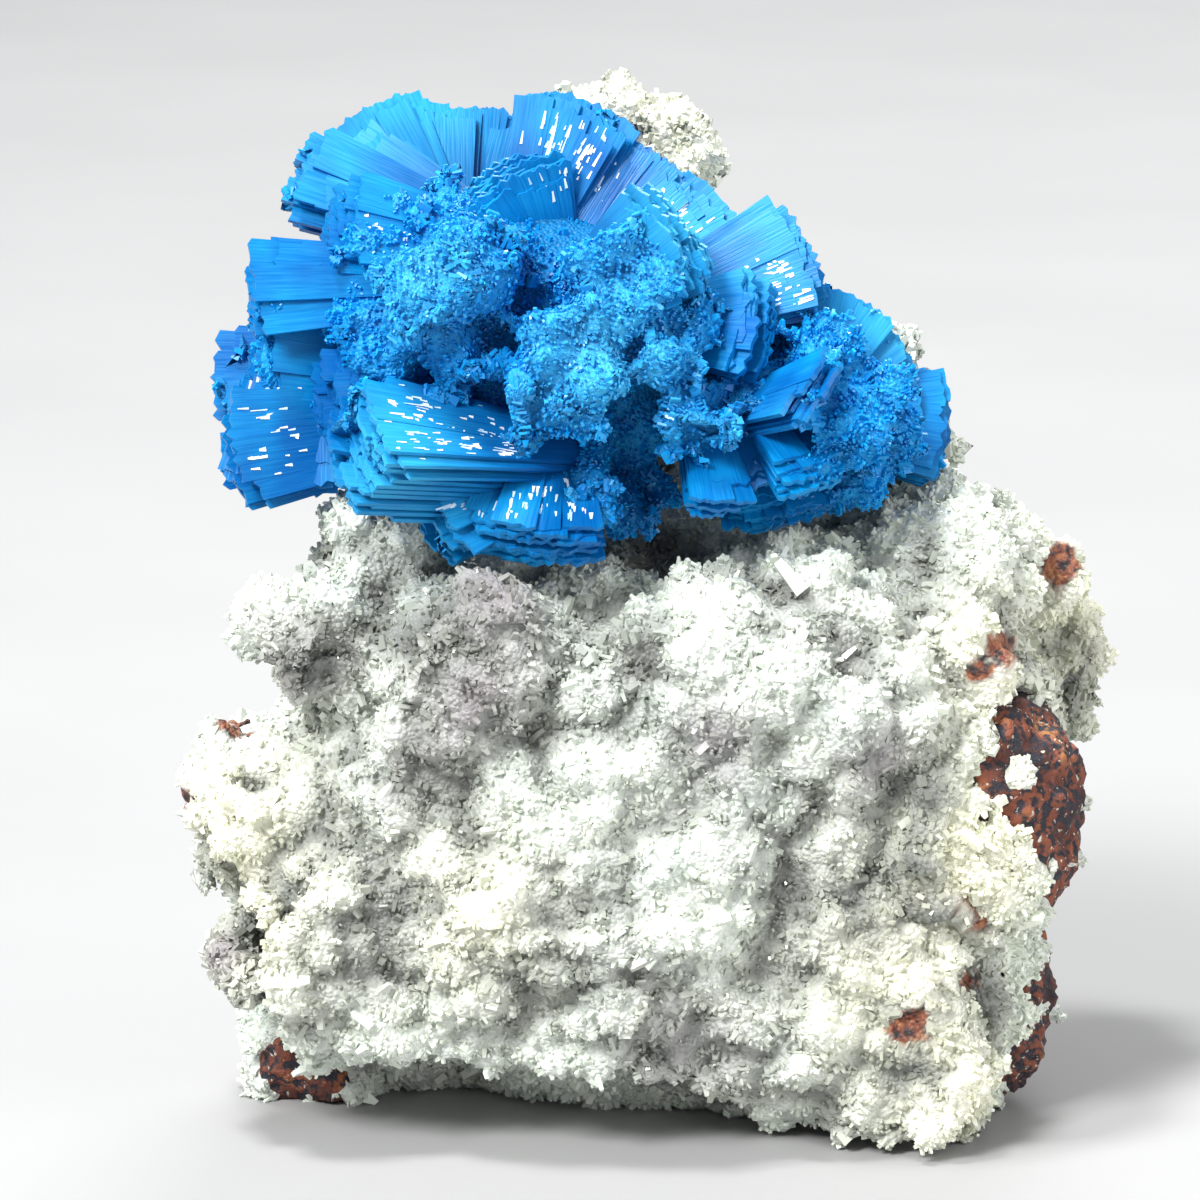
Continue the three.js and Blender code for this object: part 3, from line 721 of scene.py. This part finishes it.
def fill_sheaf(root, tip, face, width, thick, random):
    """Blades for one sheaf, in millimetres: each is (place, axes, size)."""
    root, tip = np.array(root, dtype=float), np.array(tip, dtype=float)
    forward = tip - root
    length = np.linalg.norm(forward)
    forward /= length
    across = np.cross(forward, face)
    across /= np.linalg.norm(across)
    outward = np.cross(across, forward)
    spread = 2 * math.atan(width * (1 - ROOT_SHARE) / 2 / length)
    layers = max(2, round(thick / BLADE_THICKNESS))
    blades = []
    for layer in range(layers):
        level = (layer + 0.5) / layers - 0.5
        step = STEP * random.random()
        rows = max(2, round(width / BLADE_WIDTH + random.uniform(-0.8, 0.8)))
        offset = random.uniform(-0.25, 0.25) / rows
        for row in range(rows):
            share = (row + 0.5) / rows - 0.5 + offset + 0.15 / rows * random.normal()
            angle = share * spread + MESS * random.normal()
            way = forward * math.cos(angle) + across * math.sin(angle) + outward * MESS * random.normal()
            way /= np.linalg.norm(way)
            side = across - way * np.dot(across, way) + outward * 2 * MESS * random.normal()
            side /= np.linalg.norm(side) * random.choice((-1, 1))
            top = np.cross(side, way)
            start = root + across * share * width * ROOT_SHARE
            start += outward * (level * (thick - BLADE_THICKNESS) + 0.08 * BLADE_THICKNESS * random.normal())
            jag = JAG * random.random() ** 3 + step
            wide = width / rows * random.uniform(1.3, 1.8)
            deep = thick / layers * random.uniform(1.1, 1.3)
            reach = length * (1 - jag - ROUND_END * share**2) - 0.2 * wide
            blades.append((start, (side, way, top), (wide, reach, deep)))
    return blades


def put_tone(piece):
    """1 where the blue is palest, partly painted light, and -1 where it is deepest, partly painted shade."""
    points = points_of(piece)
    put_number(piece, "tone", share_of(PALE_AND_LIT, points) - share_of(DEEP_AND_SHADED, points))


def blade_piece(name, blades, random):
    places = np.array([entry[0] for entry in blades]) * MM
    axes = np.array([entry[1] for entry in blades])
    sizes = np.array([entry[2] for entry in blades]) * MM
    apart = random.random(len(blades)) * STRIPES_APART
    piece, local = joined_copies(name, blade, places, axes, sizes, random)
    put_vector(piece, "strand", (local / MM + apart[:, None, None]).reshape(-1, 3))
    put_number(piece, "along", (local[:, :, 1] / sizes[:, None, 1]).ravel())
    put_tone(piece)
    return piece


# %% [markdown]
# ### Striped fans
# The fans at the rosette's rim show their broad striped sides, so they are filled with blades. The fans in
# its middle point at the viewer, who sees frosted ends instead. Those keep the solid's form and get a skin
# of tiny tips further down.

# %% Blades of the fans
FROSTED = [  # x, y and z of the middle, and the radius, all in millimetres, where the domes are
    (-8.7, -3.5, 33.2, 4.8),
    (-1.5, -7.0, 32.0, 4.6),
    (8.4, -3.5, 28.4, 4.6),
    (-0.4, -5.0, 26.0, 3.0),
    (-13.2, -2.5, 30.6, 2.6),
    (-4.5, 8.0, 31.0, 7.0),
    (6.0, 5.0, 30.0, 4.0),
]


def frost_at(points):
    """1 among the frosted domes and 0 away from them."""
    near = np.min([np.linalg.norm(points / MM - np.array(b[:3]), axis=1) / b[3] for b in FROSTED], axis=0)
    return np.clip((1.15 - near) / 0.35, 0, 1)


# Partly painted light: these balls are partly the blue's own paler colour and partly painted light on lit
# tops and faces.
PALE_AND_LIT = [  # soft balls where the blue is palest
    (-9.0, 3.0, 37.5, 3.6),
    (3.0, -2.0, 35.5, 2.6),
    (-1.8, -8.8, 31.4, 3.2),
    (-8.3, -6.0, 33.6, 2.4),
    (0.5, -5.0, 35.9, 2.2),
    (-9.5, -8.5, 27.4, 3.4),
    (3.0, -8.0, 29.5, 2.0),
    (9.5, -1.0, 31.0, 2.4),
]
# Partly painted shade: these balls are partly the blue's own deeper colour and partly painted shade in
# hollows.
DEEP_AND_SHADED = [  # and where it is deepest
    (-11.8, -5.5, 28.8, 1.8),
    (-7.2, -6.5, 29.2, 1.8),
    (-3.4, -7.5, 27.0, 1.6),
    (3.2, -5.0, 28.6, 1.8),
    (-0.4, -5.0, 24.8, 2.2),
    (5.8, -4.0, 25.0, 1.8),
    (-4.6, -4.0, 34.0, 1.4),
]
END_ON = 0.83  # a fan that points at the viewer more than this shows only its ends
VIEWER = np.array(towards_camera)

random = np.random.default_rng(7)
striped = []
for root, tip, face, width, thick in FANS:
    root, tip = root + FAN_SHIFT, tip + FAN_SHIFT
    end_on = np.dot(tip - root, VIEWER) / np.linalg.norm(tip - root) > END_ON
    if frost_at(tip[None] * MM)[0] < 0.5 and not end_on:
        striped += fill_sheaf(root, tip, face, width, thick, random)
print(len(striped), "blades in the striped fans")
fans = blade_piece("cavansite_fans", striped, random)

# %% [markdown]
# ### Pearly flakes with a painted white glint
# Where a broad blade has split, thin flakes lie on its face and mirror the lamps, and their colour is painted
# nearly white as a painted glint. They are dashes that run along the blades. Only flakes that nothing covers
# are kept: a ray from each must leave the rosette.

# %% Flakes
FLAKE_ZONES = [  # x, y and z of the middle, and the radius, all in millimetres
    (-8.4, -8.6, 26.8, 3.6),
    (-4.6, -8.0, 25.0, 2.6),
    (-15.6, -3.0, 30.2, 1.9),
    (-14.8, -4.2, 27.2, 1.5),
    (-2.8, -0.4, 38.2, 2.1),
    (1.2, -1.0, 36.0, 1.4),
    (5.6, -2.4, 33.4, 1.7),
    (7.6, -6.2, 28.0, 1.6),
    (-10.6, -2.6, 35.2, 2.0),
]
FLAKE_TRIES = 80000
FLAKE_PATCH = 0.7  # size of the patches that flakes crowd in, in millimetres

fan_tree = tree_of(fans)
starts = np.array([entry[0] for entry in striped])
blade_axes = np.array([entry[1] for entry in striped])
blade_sizes = np.array([entry[2] for entry in striped])
chosen = random.integers(0, len(striped), FLAKE_TRIES)
side, way, up = (blade_axes[chosen, k] for k in range(3))
wide, reach, deep = (blade_sizes[chosen, k, None] for k in range(3))
up = up * np.sign(up @ VIEWER)[:, None]
along = random.uniform(0.35, 0.97, (FLAKE_TRIES, 1))
places = starts[chosen] + way * along * reach
places += side * random.uniform(-0.4, 0.4, (FLAKE_TRIES, 1)) * wide * (0.5 + 0.5 * along)
places += up * deep * 0.5 * (0.7 + 0.3 * along)
crowding = share_of(FLAKE_ZONES, places * MM) * (0.5 + 0.6 * cloud(places, FLAKE_PATCH, 0))
flakes = []
for i in np.flatnonzero(crowding > random.uniform(0.12, 0.4, FLAKE_TRIES)):
    above = Vector((places[i] + up[i] * 0.03) * MM)
    if fan_tree.ray_cast(above, Vector(up[i]), 3 * MM)[0] is None:
        flakes.append((places[i], (side[i], up[i], way[i])))
print(len(flakes), "flakes lie open")
flake_axes = np.array([unit(np.array(axes) + 0.05 * random.normal(size=(3, 3))) for _, axes in flakes])
flake_sizes = np.stack([
    random.lognormal(math.log(0.1), 0.35, len(flakes)),
    np.full(len(flakes), 0.03),
    random.lognormal(math.log(0.26), 0.45, len(flakes)),
], axis=1)
flake_piece, _ = joined_copies(
    "cavansite_flakes", grain, np.array([place for place, _ in flakes]) * MM, flake_axes, flake_sizes * MM
)

# %% [markdown]
# ### The frosted body
# In the middle of the rosette the sheaves point at the viewer, and one sees their ends: rounded domes that
# are frosted with countless tiny blade tips. A copy of the solid is pushed into domes by a cellular
# pattern. Under the striped fans it is drawn in, so that they stand clear of it.

# %% Body
body = copy_of_solid("cavansite_rosette", "cavansite_body")
remesh(body, 0.25 * MM, 12)
frost = frost_at(points_of(body))
body_normals = normals_of(body)
put_points(body, points_of(body) - body_normals * ((1.0 - 0.85 * frost) * MM)[:, None])
smooth_body = points_of(body)
displace(body, "VORONOI", 2.0 * MM, -1.2 * MM, 0.4)
displace(body, "VORONOI", 0.7 * MM, -0.35 * MM, 0.4)
apply_modifiers(body)
put_points(body, smooth_body + (points_of(body) - smooth_body) * (0.3 + 0.7 * frost)[:, None])
body_height = ((points_of(body) - smooth_body) * body_normals).sum(axis=1) / MM
print("body height from", body_height.min().round(2), "to", body_height.max().round(2), "mm")
put_number(body, "frost", frost)
put_number(body, "height", body_height)
put_tone(body)

# %% [markdown]
# ### Blade tips
# The frost on the domes is made of blade tips about as large as the druse's grains, and of the same shape,
# so the grain is used again. The tips stand out of the body along the sheaves. Neighbours lean the same
# way, because they belong to one sheaf, so patches of them glint together.

# %% Tips
TIPS = 26000
MIDDLE = np.array((-3.6, 0.2, 29.0))
RIGHT_MIDDLE = np.array((6.0, 0.2, 26.6))

random = np.random.default_rng(31)
places, normals, corners = spread_over(body, TIPS * 4, random)
crowding = (0.25 + 0.75 * frost_at(places)) * np.where(places[:, 1] > 3 * MM, 0.4, 1)
kept = np.flatnonzero(crowding > random.random(len(places)))[:TIPS]
kept = kept[np.argsort(places[kept, 0])]
places, normals, height = places[kept] / MM, normals[kept], body_height[corners[kept]].mean(axis=1)
centres = np.where(places[:, :1] > 2.6, RIGHT_MIDDLE, MIDDLE)
sway = np.stack([cloud(places, 0.9, seed) for seed in (5, 6, 7)], axis=1)
ways = unit(unit(places - centres) + 0.9 * normals + 0.5 * sway + 0.12 * random.normal(size=places.shape))
turn = np.stack([cloud(places, 1.3, seed) for seed in (8, 9, 10)], axis=1)
turn += 0.15 * random.normal(size=places.shape)
sides = unit(np.cross(ways, turn))
axes = np.stack([sides, np.cross(ways, sides), ways], axis=1)
wide = random.lognormal(math.log(0.185), 0.3, len(places))
sizes = np.stack([wide, wide, wide + 0.1], axis=1)
shade = random.random(len(places))

tip_pieces = []
TIPS_IN_A_PIECE = 15500
for start in range(0, len(places), TIPS_IN_A_PIECE):
    part = slice(start, start + TIPS_IN_A_PIECE)
    name = f"cavansite_tips_{start // TIPS_IN_A_PIECE + 1}"
    piece, _ = joined_copies(name, grain, places[part] * MM, axes[part], sizes[part] * MM)
    per_tip = len(grain.data.vertices)
    put_number(piece, "shade", np.repeat(shade[part], per_tip))
    put_number(piece, "height", np.repeat(height[part], per_tip))
    put_tone(piece)
    tip_pieces.append(piece)
for master in (grain, blade):
    bpy.data.objects.remove(master)

# %% [markdown]
# ## Materials
# Every material is one Principled shader with its patterns in front of it. A small set of helpers keeps
# the node trees short to read.


# %% Node helpers
def new_material(name):
    material = bpy.data.materials.new(name)
    material.use_nodes = True
    return material, material.node_tree, material.node_tree.nodes["Principled BSDF"]


def add(tree, kind, **values):
    """Adds a node: values with a name that the node has are set on it, the others on its inputs."""
    node = tree.nodes.new(kind)
    for key, value in values.items():
        if hasattr(node, key):
            setattr(node, key, value)
        else:
            node.inputs[key.replace("_", " ")].default_value = value
    return node


def number_of(tree, name):
    return add(tree, "ShaderNodeAttribute", attribute_name=name).outputs["Fac"]


def noise_at(tree, scale, detail=3, vector=None):
    """Noise whose features are about 1 / scale metres wide, on Object coordinates unless told otherwise."""
    node = add(tree, "ShaderNodeTexNoise", Scale=scale, Detail=detail)
    if vector is None:
        vector = add(tree, "ShaderNodeTexCoord").outputs["Object"]
    tree.links.new(vector, node.inputs["Vector"])
    return node.outputs["Fac"]


def facets_at(tree, scale):
    """A pattern of small cells, which as a bump looks like crowded crystal ends."""
    node = add(tree, "ShaderNodeTexVoronoi", Scale=scale)
    tree.links.new(add(tree, "ShaderNodeTexCoord").outputs["Object"], node.inputs["Vector"])
    return node.outputs["Distance"]


def ramp(tree, source, stops):
    """A colour ramp: stops are (place, colour)."""
    node = tree.nodes.new("ShaderNodeValToRGB")
    while len(node.color_ramp.elements) < len(stops):
        node.color_ramp.elements.new(0.5)
    for element, (place, colour) in zip(node.color_ramp.elements, stops):
        element.position = place
        element.color = (*colour, 1)
    tree.links.new(source, node.inputs["Fac"])
    return node.outputs["Color"]


def mix(tree, share, first, second, blend="MIX"):
    """Mixes two colours: each may be an output or a plain colour."""
    node = tree.nodes.new("ShaderNodeMix")
    node.data_type = "RGBA"
    node.blend_type = blend
    for value, socket in ((share, node.inputs[0]), (first, node.inputs[6]), (second, node.inputs[7])):
        if isinstance(value, bpy.types.NodeSocket):
            tree.links.new(value, socket)
        else:
            socket.default_value = value if isinstance(value, (int, float)) else (*value, 1)
    return node.outputs[2]


def remap(tree, source, low, high, to_low, to_high):
    node = tree.nodes.new("ShaderNodeMapRange")
    tree.links.new(source, node.inputs["Value"])
    for key, value in (("From Min", low), ("From Max", high), ("To Min", to_low), ("To Max", to_high)):
        node.inputs[key].default_value = value
    return node.outputs["Result"]


def bump(tree, height, strength, distance, shader):
    node = add(tree, "ShaderNodeBump", Strength=strength, Distance=distance)
    tree.links.new(height, node.inputs["Height"])
    tree.links.new(node.outputs["Normal"], shader.inputs["Normal"])


# %% [markdown]
# ### Basalt
# Brick red ground with blue-black grains, ochre stains and a few white specks. All of it is dull.

# %% Basalt material
basalt_finish, tree, shader = new_material("speckled_basalt")
grains_dark = noise_at(tree, 2600, 3)
stains = noise_at(tree, 420, 4)
ground = ramp(tree, stains, [
    (0.34, (0.03, 0.018, 0.02)),
    (0.46, (0.13, 0.04, 0.028)),
    (0.58, (0.28, 0.085, 0.045)),
    (0.72, (0.42, 0.20, 0.07)),
])
dark = ramp(tree, grains_dark, [(0.44, (0, 0, 0)), (0.54, (1, 1, 1))])
speckled = mix(tree, dark, (0.02, 0.02, 0.03), ground)
specks = ramp(tree, noise_at(tree, 4100, 2), [(0.66, (0, 0, 0)), (0.7, (1, 1, 1))])
tree.links.new(mix(tree, specks, speckled, (0.62, 0.55, 0.46)), shader.inputs["Base Color"])
tree.links.new(remap(tree, grains_dark, 0.3, 0.7, 0.55, 0.95), shader.inputs["Roughness"])
bump(tree, grains_dark, 1.0, 0.3 * MM, shader)

# %% [markdown]
# ### Zeolite
# The crust is milky white with a green cast, warmer towards the right and the foot, greyer at the upper
# left. Clefts are painted darker, as painted shade, and some hollows get a painted grey shade. In the real
# druse light sinks into each crystal. Subsurface scattering would show that but is slow on so many grains, so
# the colours are simply light, and light bounces between the grains.

# %% Zeolite material
def zeolite_colour(tree):
    broad = noise_at(tree, 300, 2)
    mint = ramp(tree, broad, [(0.35, (0.66, 0.71, 0.66)), (0.65, (0.82, 0.86, 0.79))])
    cream = ramp(tree, broad, [(0.35, (0.84, 0.84, 0.68)), (0.65, (0.95, 0.94, 0.80))])
    tinted = mix(tree, number_of(tree, "cream"), mint, cream)
    # Painted shade: grey is painted into the hollows in those balls.
    hollow_shaded = mix(tree, number_of(tree, "smoke"), tinted, (0.30, 0.275, 0.285))
    # Painted shade: low points in the clefts are painted darker.
    depth = remap(tree, number_of(tree, "height"), -1.3, -0.3, 0.0, 1.0)
    return mix(tree, depth, (0.22, 0.23, 0.21), hollow_shaded)


crust_finish, tree, shader = new_material("zeolite_crust")
base = zeolite_colour(tree)
bare = number_of(tree, "bare")
rock = ramp(tree, noise_at(tree, 2200, 3), [
    (0.4, (0.03, 0.02, 0.02)), (0.5, (0.2, 0.06, 0.035)), (0.65, (0.36, 0.14, 0.06)),
])
tree.links.new(mix(tree, bare, base, rock), shader.inputs["Base Color"])
shader.inputs["Roughness"].default_value = 0.55
bump(tree, facets_at(tree, 5200), 1.0, -0.12 * MM, shader)

grain_finish, tree, shader = new_material("zeolite_grains")
shade = number_of(tree, "shade")
# Random tone, and the brightest few grains are painted brighter than white as a painted glint.
tone_and_painted_glint = ramp(tree, shade, [
    (0.0, (0.8, 0.82, 0.78)), (0.6, (0.98, 0.99, 0.95)), (0.96, (1.05, 1.05, 1.02)), (1.0, (1.3, 1.3, 1.3)),
])
tree.links.new(mix(tree, 1.0, tone_and_painted_glint, zeolite_colour(tree), "MULTIPLY"), shader.inputs["Base Color"])
tree.links.new(remap(tree, shade, 0, 1, 0.5, 0.12), shader.inputs["Roughness"])

# %% [markdown]
# ### Cavansite
# Azure, painted deep blue where it is thick or shaded and paler at the tips. All the blues are made in one
# way: a noise blends two blues, and then the pale and deep balls shift the result. Those balls are partly the
# blue's own colour and partly painted light on lit tops and painted shade in hollows. The gloss is kept weak,
# because the blades are thin and their ends are frosted.

# %% Cavansite colours
DEEP_BLUE = (0.0, 0.08, 0.29)


def blue_material(name):
    material, tree, shader = new_material(name)
    shader.inputs["IOR"].default_value = 1.54
    shader.inputs["Specular IOR Level"].default_value = 0.3
    return material, tree, shader


def toned(tree, stops, scale, palest):
    """A blue that varies by a noise between the stops, then by the pale and deep balls, which are partly
    painted light and painted shade.
    """
    tone = number_of(tree, "tone")
    colour = ramp(tree, noise_at(tree, scale, 2), stops)
    colour = mix(tree, remap(tree, tone, 0, 1, 0, 0.75), colour, palest)
    return mix(tree, remap(tree, tone, 0, -1, 0, 0.7), colour, DEEP_BLUE)


def clear_blue(tree):
    return toned(tree, [(0.35, (0.0, 0.12, 0.40)), (0.68, (0.0, 0.26, 0.60))], 330, (0.04, 0.45, 0.74))


def frosted_blue(tree):
    return toned(tree, [(0.35, (0.0, 0.24, 0.64)), (0.7, (0.01, 0.36, 0.78))], 1500, (0.06, 0.46, 0.76))


# %% [markdown]
# ### The blades' finish
# Fine stripes run along each blade. They are a noise that is stretched along the blade's own length, which
# the strand attribute carries, so the stripes turn with the blade. They tint it, roughen it and raise it a
# little. Towards the root the blue is painted deeper, a painted shade, because less light gets in there.

# %% Blades
blade_finish, tree, shader = blue_material("cavansite_blades")
strand = add(tree, "ShaderNodeAttribute", attribute_name="strand").outputs["Vector"]
stretch = add(tree, "ShaderNodeMapping")
stretch.inputs["Scale"].default_value = (13, 0.5, 13)
tree.links.new(strand, stretch.inputs["Vector"])
stripes = noise_at(tree, 1, 2, stretch.outputs["Vector"])
share = remap(tree, number_of(tree, "along"), 0.2, 0.9, 0.0, 1.0)
# Painted shade: the blue is painted deeper towards the root.
colour = mix(tree, share, DEEP_BLUE, clear_blue(tree))
lit = ramp(tree, stripes, [(0.35, (0.8, 0.86, 0.93)), (0.68, (1.4, 1.12, 1.06))])
tree.links.new(mix(tree, 1.0, colour, lit, "MULTIPLY"), shader.inputs["Base Color"])
bump(tree, stripes, 0.6, 0.03 * MM, shader)
tree.links.new(remap(tree, stripes, 0.3, 0.7, 0.25, 0.5), shader.inputs["Roughness"])

# %% [markdown]
# ### The finish of the body and its tips
# The clefts between the domes are painted deep blue, as painted shade. The body's cellular bump carries on
# the look of the tips between them. A few tips in a hundred are painted much paler, up to brighter than
# white, as painted glints.

# %% Body of the rosette
body_finish, tree, shader = blue_material("cavansite_body")
# Painted shade: low points in the clefts are painted deep blue.
depth = remap(tree, number_of(tree, "height"), -0.9, -0.15, 0.2, 1.0)
domes = mix(tree, depth, DEEP_BLUE, frosted_blue(tree))
colour = mix(tree, number_of(tree, "frost"), (0.0, 0.17, 0.43), domes)
tree.links.new(colour, shader.inputs["Base Color"])
bump(tree, facets_at(tree, 6500), 1.0, -0.1 * MM, shader)
shader.inputs["Roughness"].default_value = 0.5

# %% Blade tips
tip_finish, tree, shader = blue_material("cavansite_tips")
# Painted shade: tips deep in the clefts are painted deep blue.
depth = remap(tree, number_of(tree, "height"), -0.9, -0.15, 0.3, 1.0)
shade = number_of(tree, "shade")
# Random tone, and a few tips are painted brighter than white as painted glints.
tone = ramp(tree, shade, [(0.0, (0.8, 0.88, 0.94)), (0.96, (1.1, 1.06, 1.03)), (1.0, (2.4, 1.6, 1.2))])
colour = mix(tree, 1.0, mix(tree, depth, DEEP_BLUE, frosted_blue(tree)), tone, "MULTIPLY")
tree.links.new(colour, shader.inputs["Base Color"])
tree.links.new(remap(tree, shade, 0.0, 1.0, 0.5, 0.2), shader.inputs["Roughness"])

# %% [markdown]
# ### The flakes' finish
# A flake is a thin split sheet that mirrors the lamps. Its colour is painted nearly white, pale blue in
# places, as a painted glint, and it is smooth.

# %% Flakes
flake_finish, tree, shader = new_material("cavansite_flakes")
# Painted glint: the flakes' colour is painted nearly white.
painted_glint_white = ramp(tree, noise_at(tree, 900, 2), [(0.35, (0.45, 0.75, 0.95)), (0.6, (0.95, 0.98, 1.0))])
tree.links.new(painted_glint_white, shader.inputs["Base Color"])
shader.inputs["Roughness"].default_value = 0.15

# %% [markdown]
# ## Dressing the specimen
# Each piece gets its material and rides on the one rigid body there is, and the solid that it stands for is
# hidden.


# %% Finish and place in the frame
def dress(piece, material, node):
    piece.data.materials.clear()
    piece.data.materials.append(material)
    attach(piece, "root")
    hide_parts(node)


dress(basalt, basalt_finish, "basalt_matrix")
dress(crust, crust_finish, "zeolite_druse")
dress(film, crust_finish, "zeolite_druse")
for piece in druse_grains:
    dress(piece, grain_finish, "zeolite_druse")
dress(body, body_finish, "cavansite_rosette")
dress(fans, blade_finish, "cavansite_rosette")
for piece in tip_pieces:
    dress(piece, tip_finish, "cavansite_rosette")
dress(flake_piece, flake_finish, "cavansite_rosette")

# %% [markdown]
# ## Floor and light
# A plain pale floor and soft studio light: a key lamp high on the left, a small one above that makes the flat
# crystal faces glint, and weaker ones on the right and behind. The floor is a little darker than white paper,
# so that it stays pale without glaring.

# %% Floor
bpy.ops.object.select_all(action="DESELECT")
bpy.ops.mesh.primitive_plane_add(size=1.6, location=(0, 0.3, 0))
floor = bpy.context.active_object
floor.name = "floor"
floor_finish, tree, shader = new_material("pale_floor")
paper = ramp(tree, noise_at(tree, 30, 2), [(0.3, (0.37, 0.37, 0.37)), (0.7, (0.39, 0.39, 0.39))])
tree.links.new(paper, shader.inputs["Base Color"])
shader.inputs["Roughness"].default_value = 0.7
floor.data.materials.append(floor_finish)
floor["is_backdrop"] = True


# %% Lamps
def lamp(name, place, size, power):
    data = bpy.data.lights.new(name, "AREA")
    data.size = size
    data.energy = power
    light = bpy.data.objects.new(name, data)
    bpy.context.collection.objects.link(light)
    light.location = place
    aim_at = Vector((0, 0, 20 * MM)) - Vector(place)
    light.rotation_euler = aim_at.to_track_quat("-Z", "Y").to_euler()


lamp("key", (-0.32, -0.40, 0.48), 0.2, 6.0)
lamp("top", (-0.14, -0.06, 0.56), 0.1, 2.8)
lamp("fill", (0.52, -0.36, 0.24), 0.4, 2.0)
lamp("back", (0.10, 0.48, 0.40), 0.3, 2.0)

world = bpy.data.worlds.new("studio")
bpy.context.scene.world = world
world.use_nodes = True
world.node_tree.nodes["Background"].inputs["Color"].default_value = (0.8, 0.82, 0.85, 1)
world.node_tree.nodes["Background"].inputs["Strength"].default_value = 0.48
bpy.context.scene.view_settings.view_transform = "Standard"

# %% [markdown]
# ## Sizes
# The dressed specimen should be as large as the solids, so both boxes are gathered, and the model's box is
# printed.

# %% Sizes and finish
model_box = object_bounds()
sizes = {"cad": [list(corner) for corner in cad_box], "model": [list(corner) for corner in model_box]}
print("box of the model:", model_box)
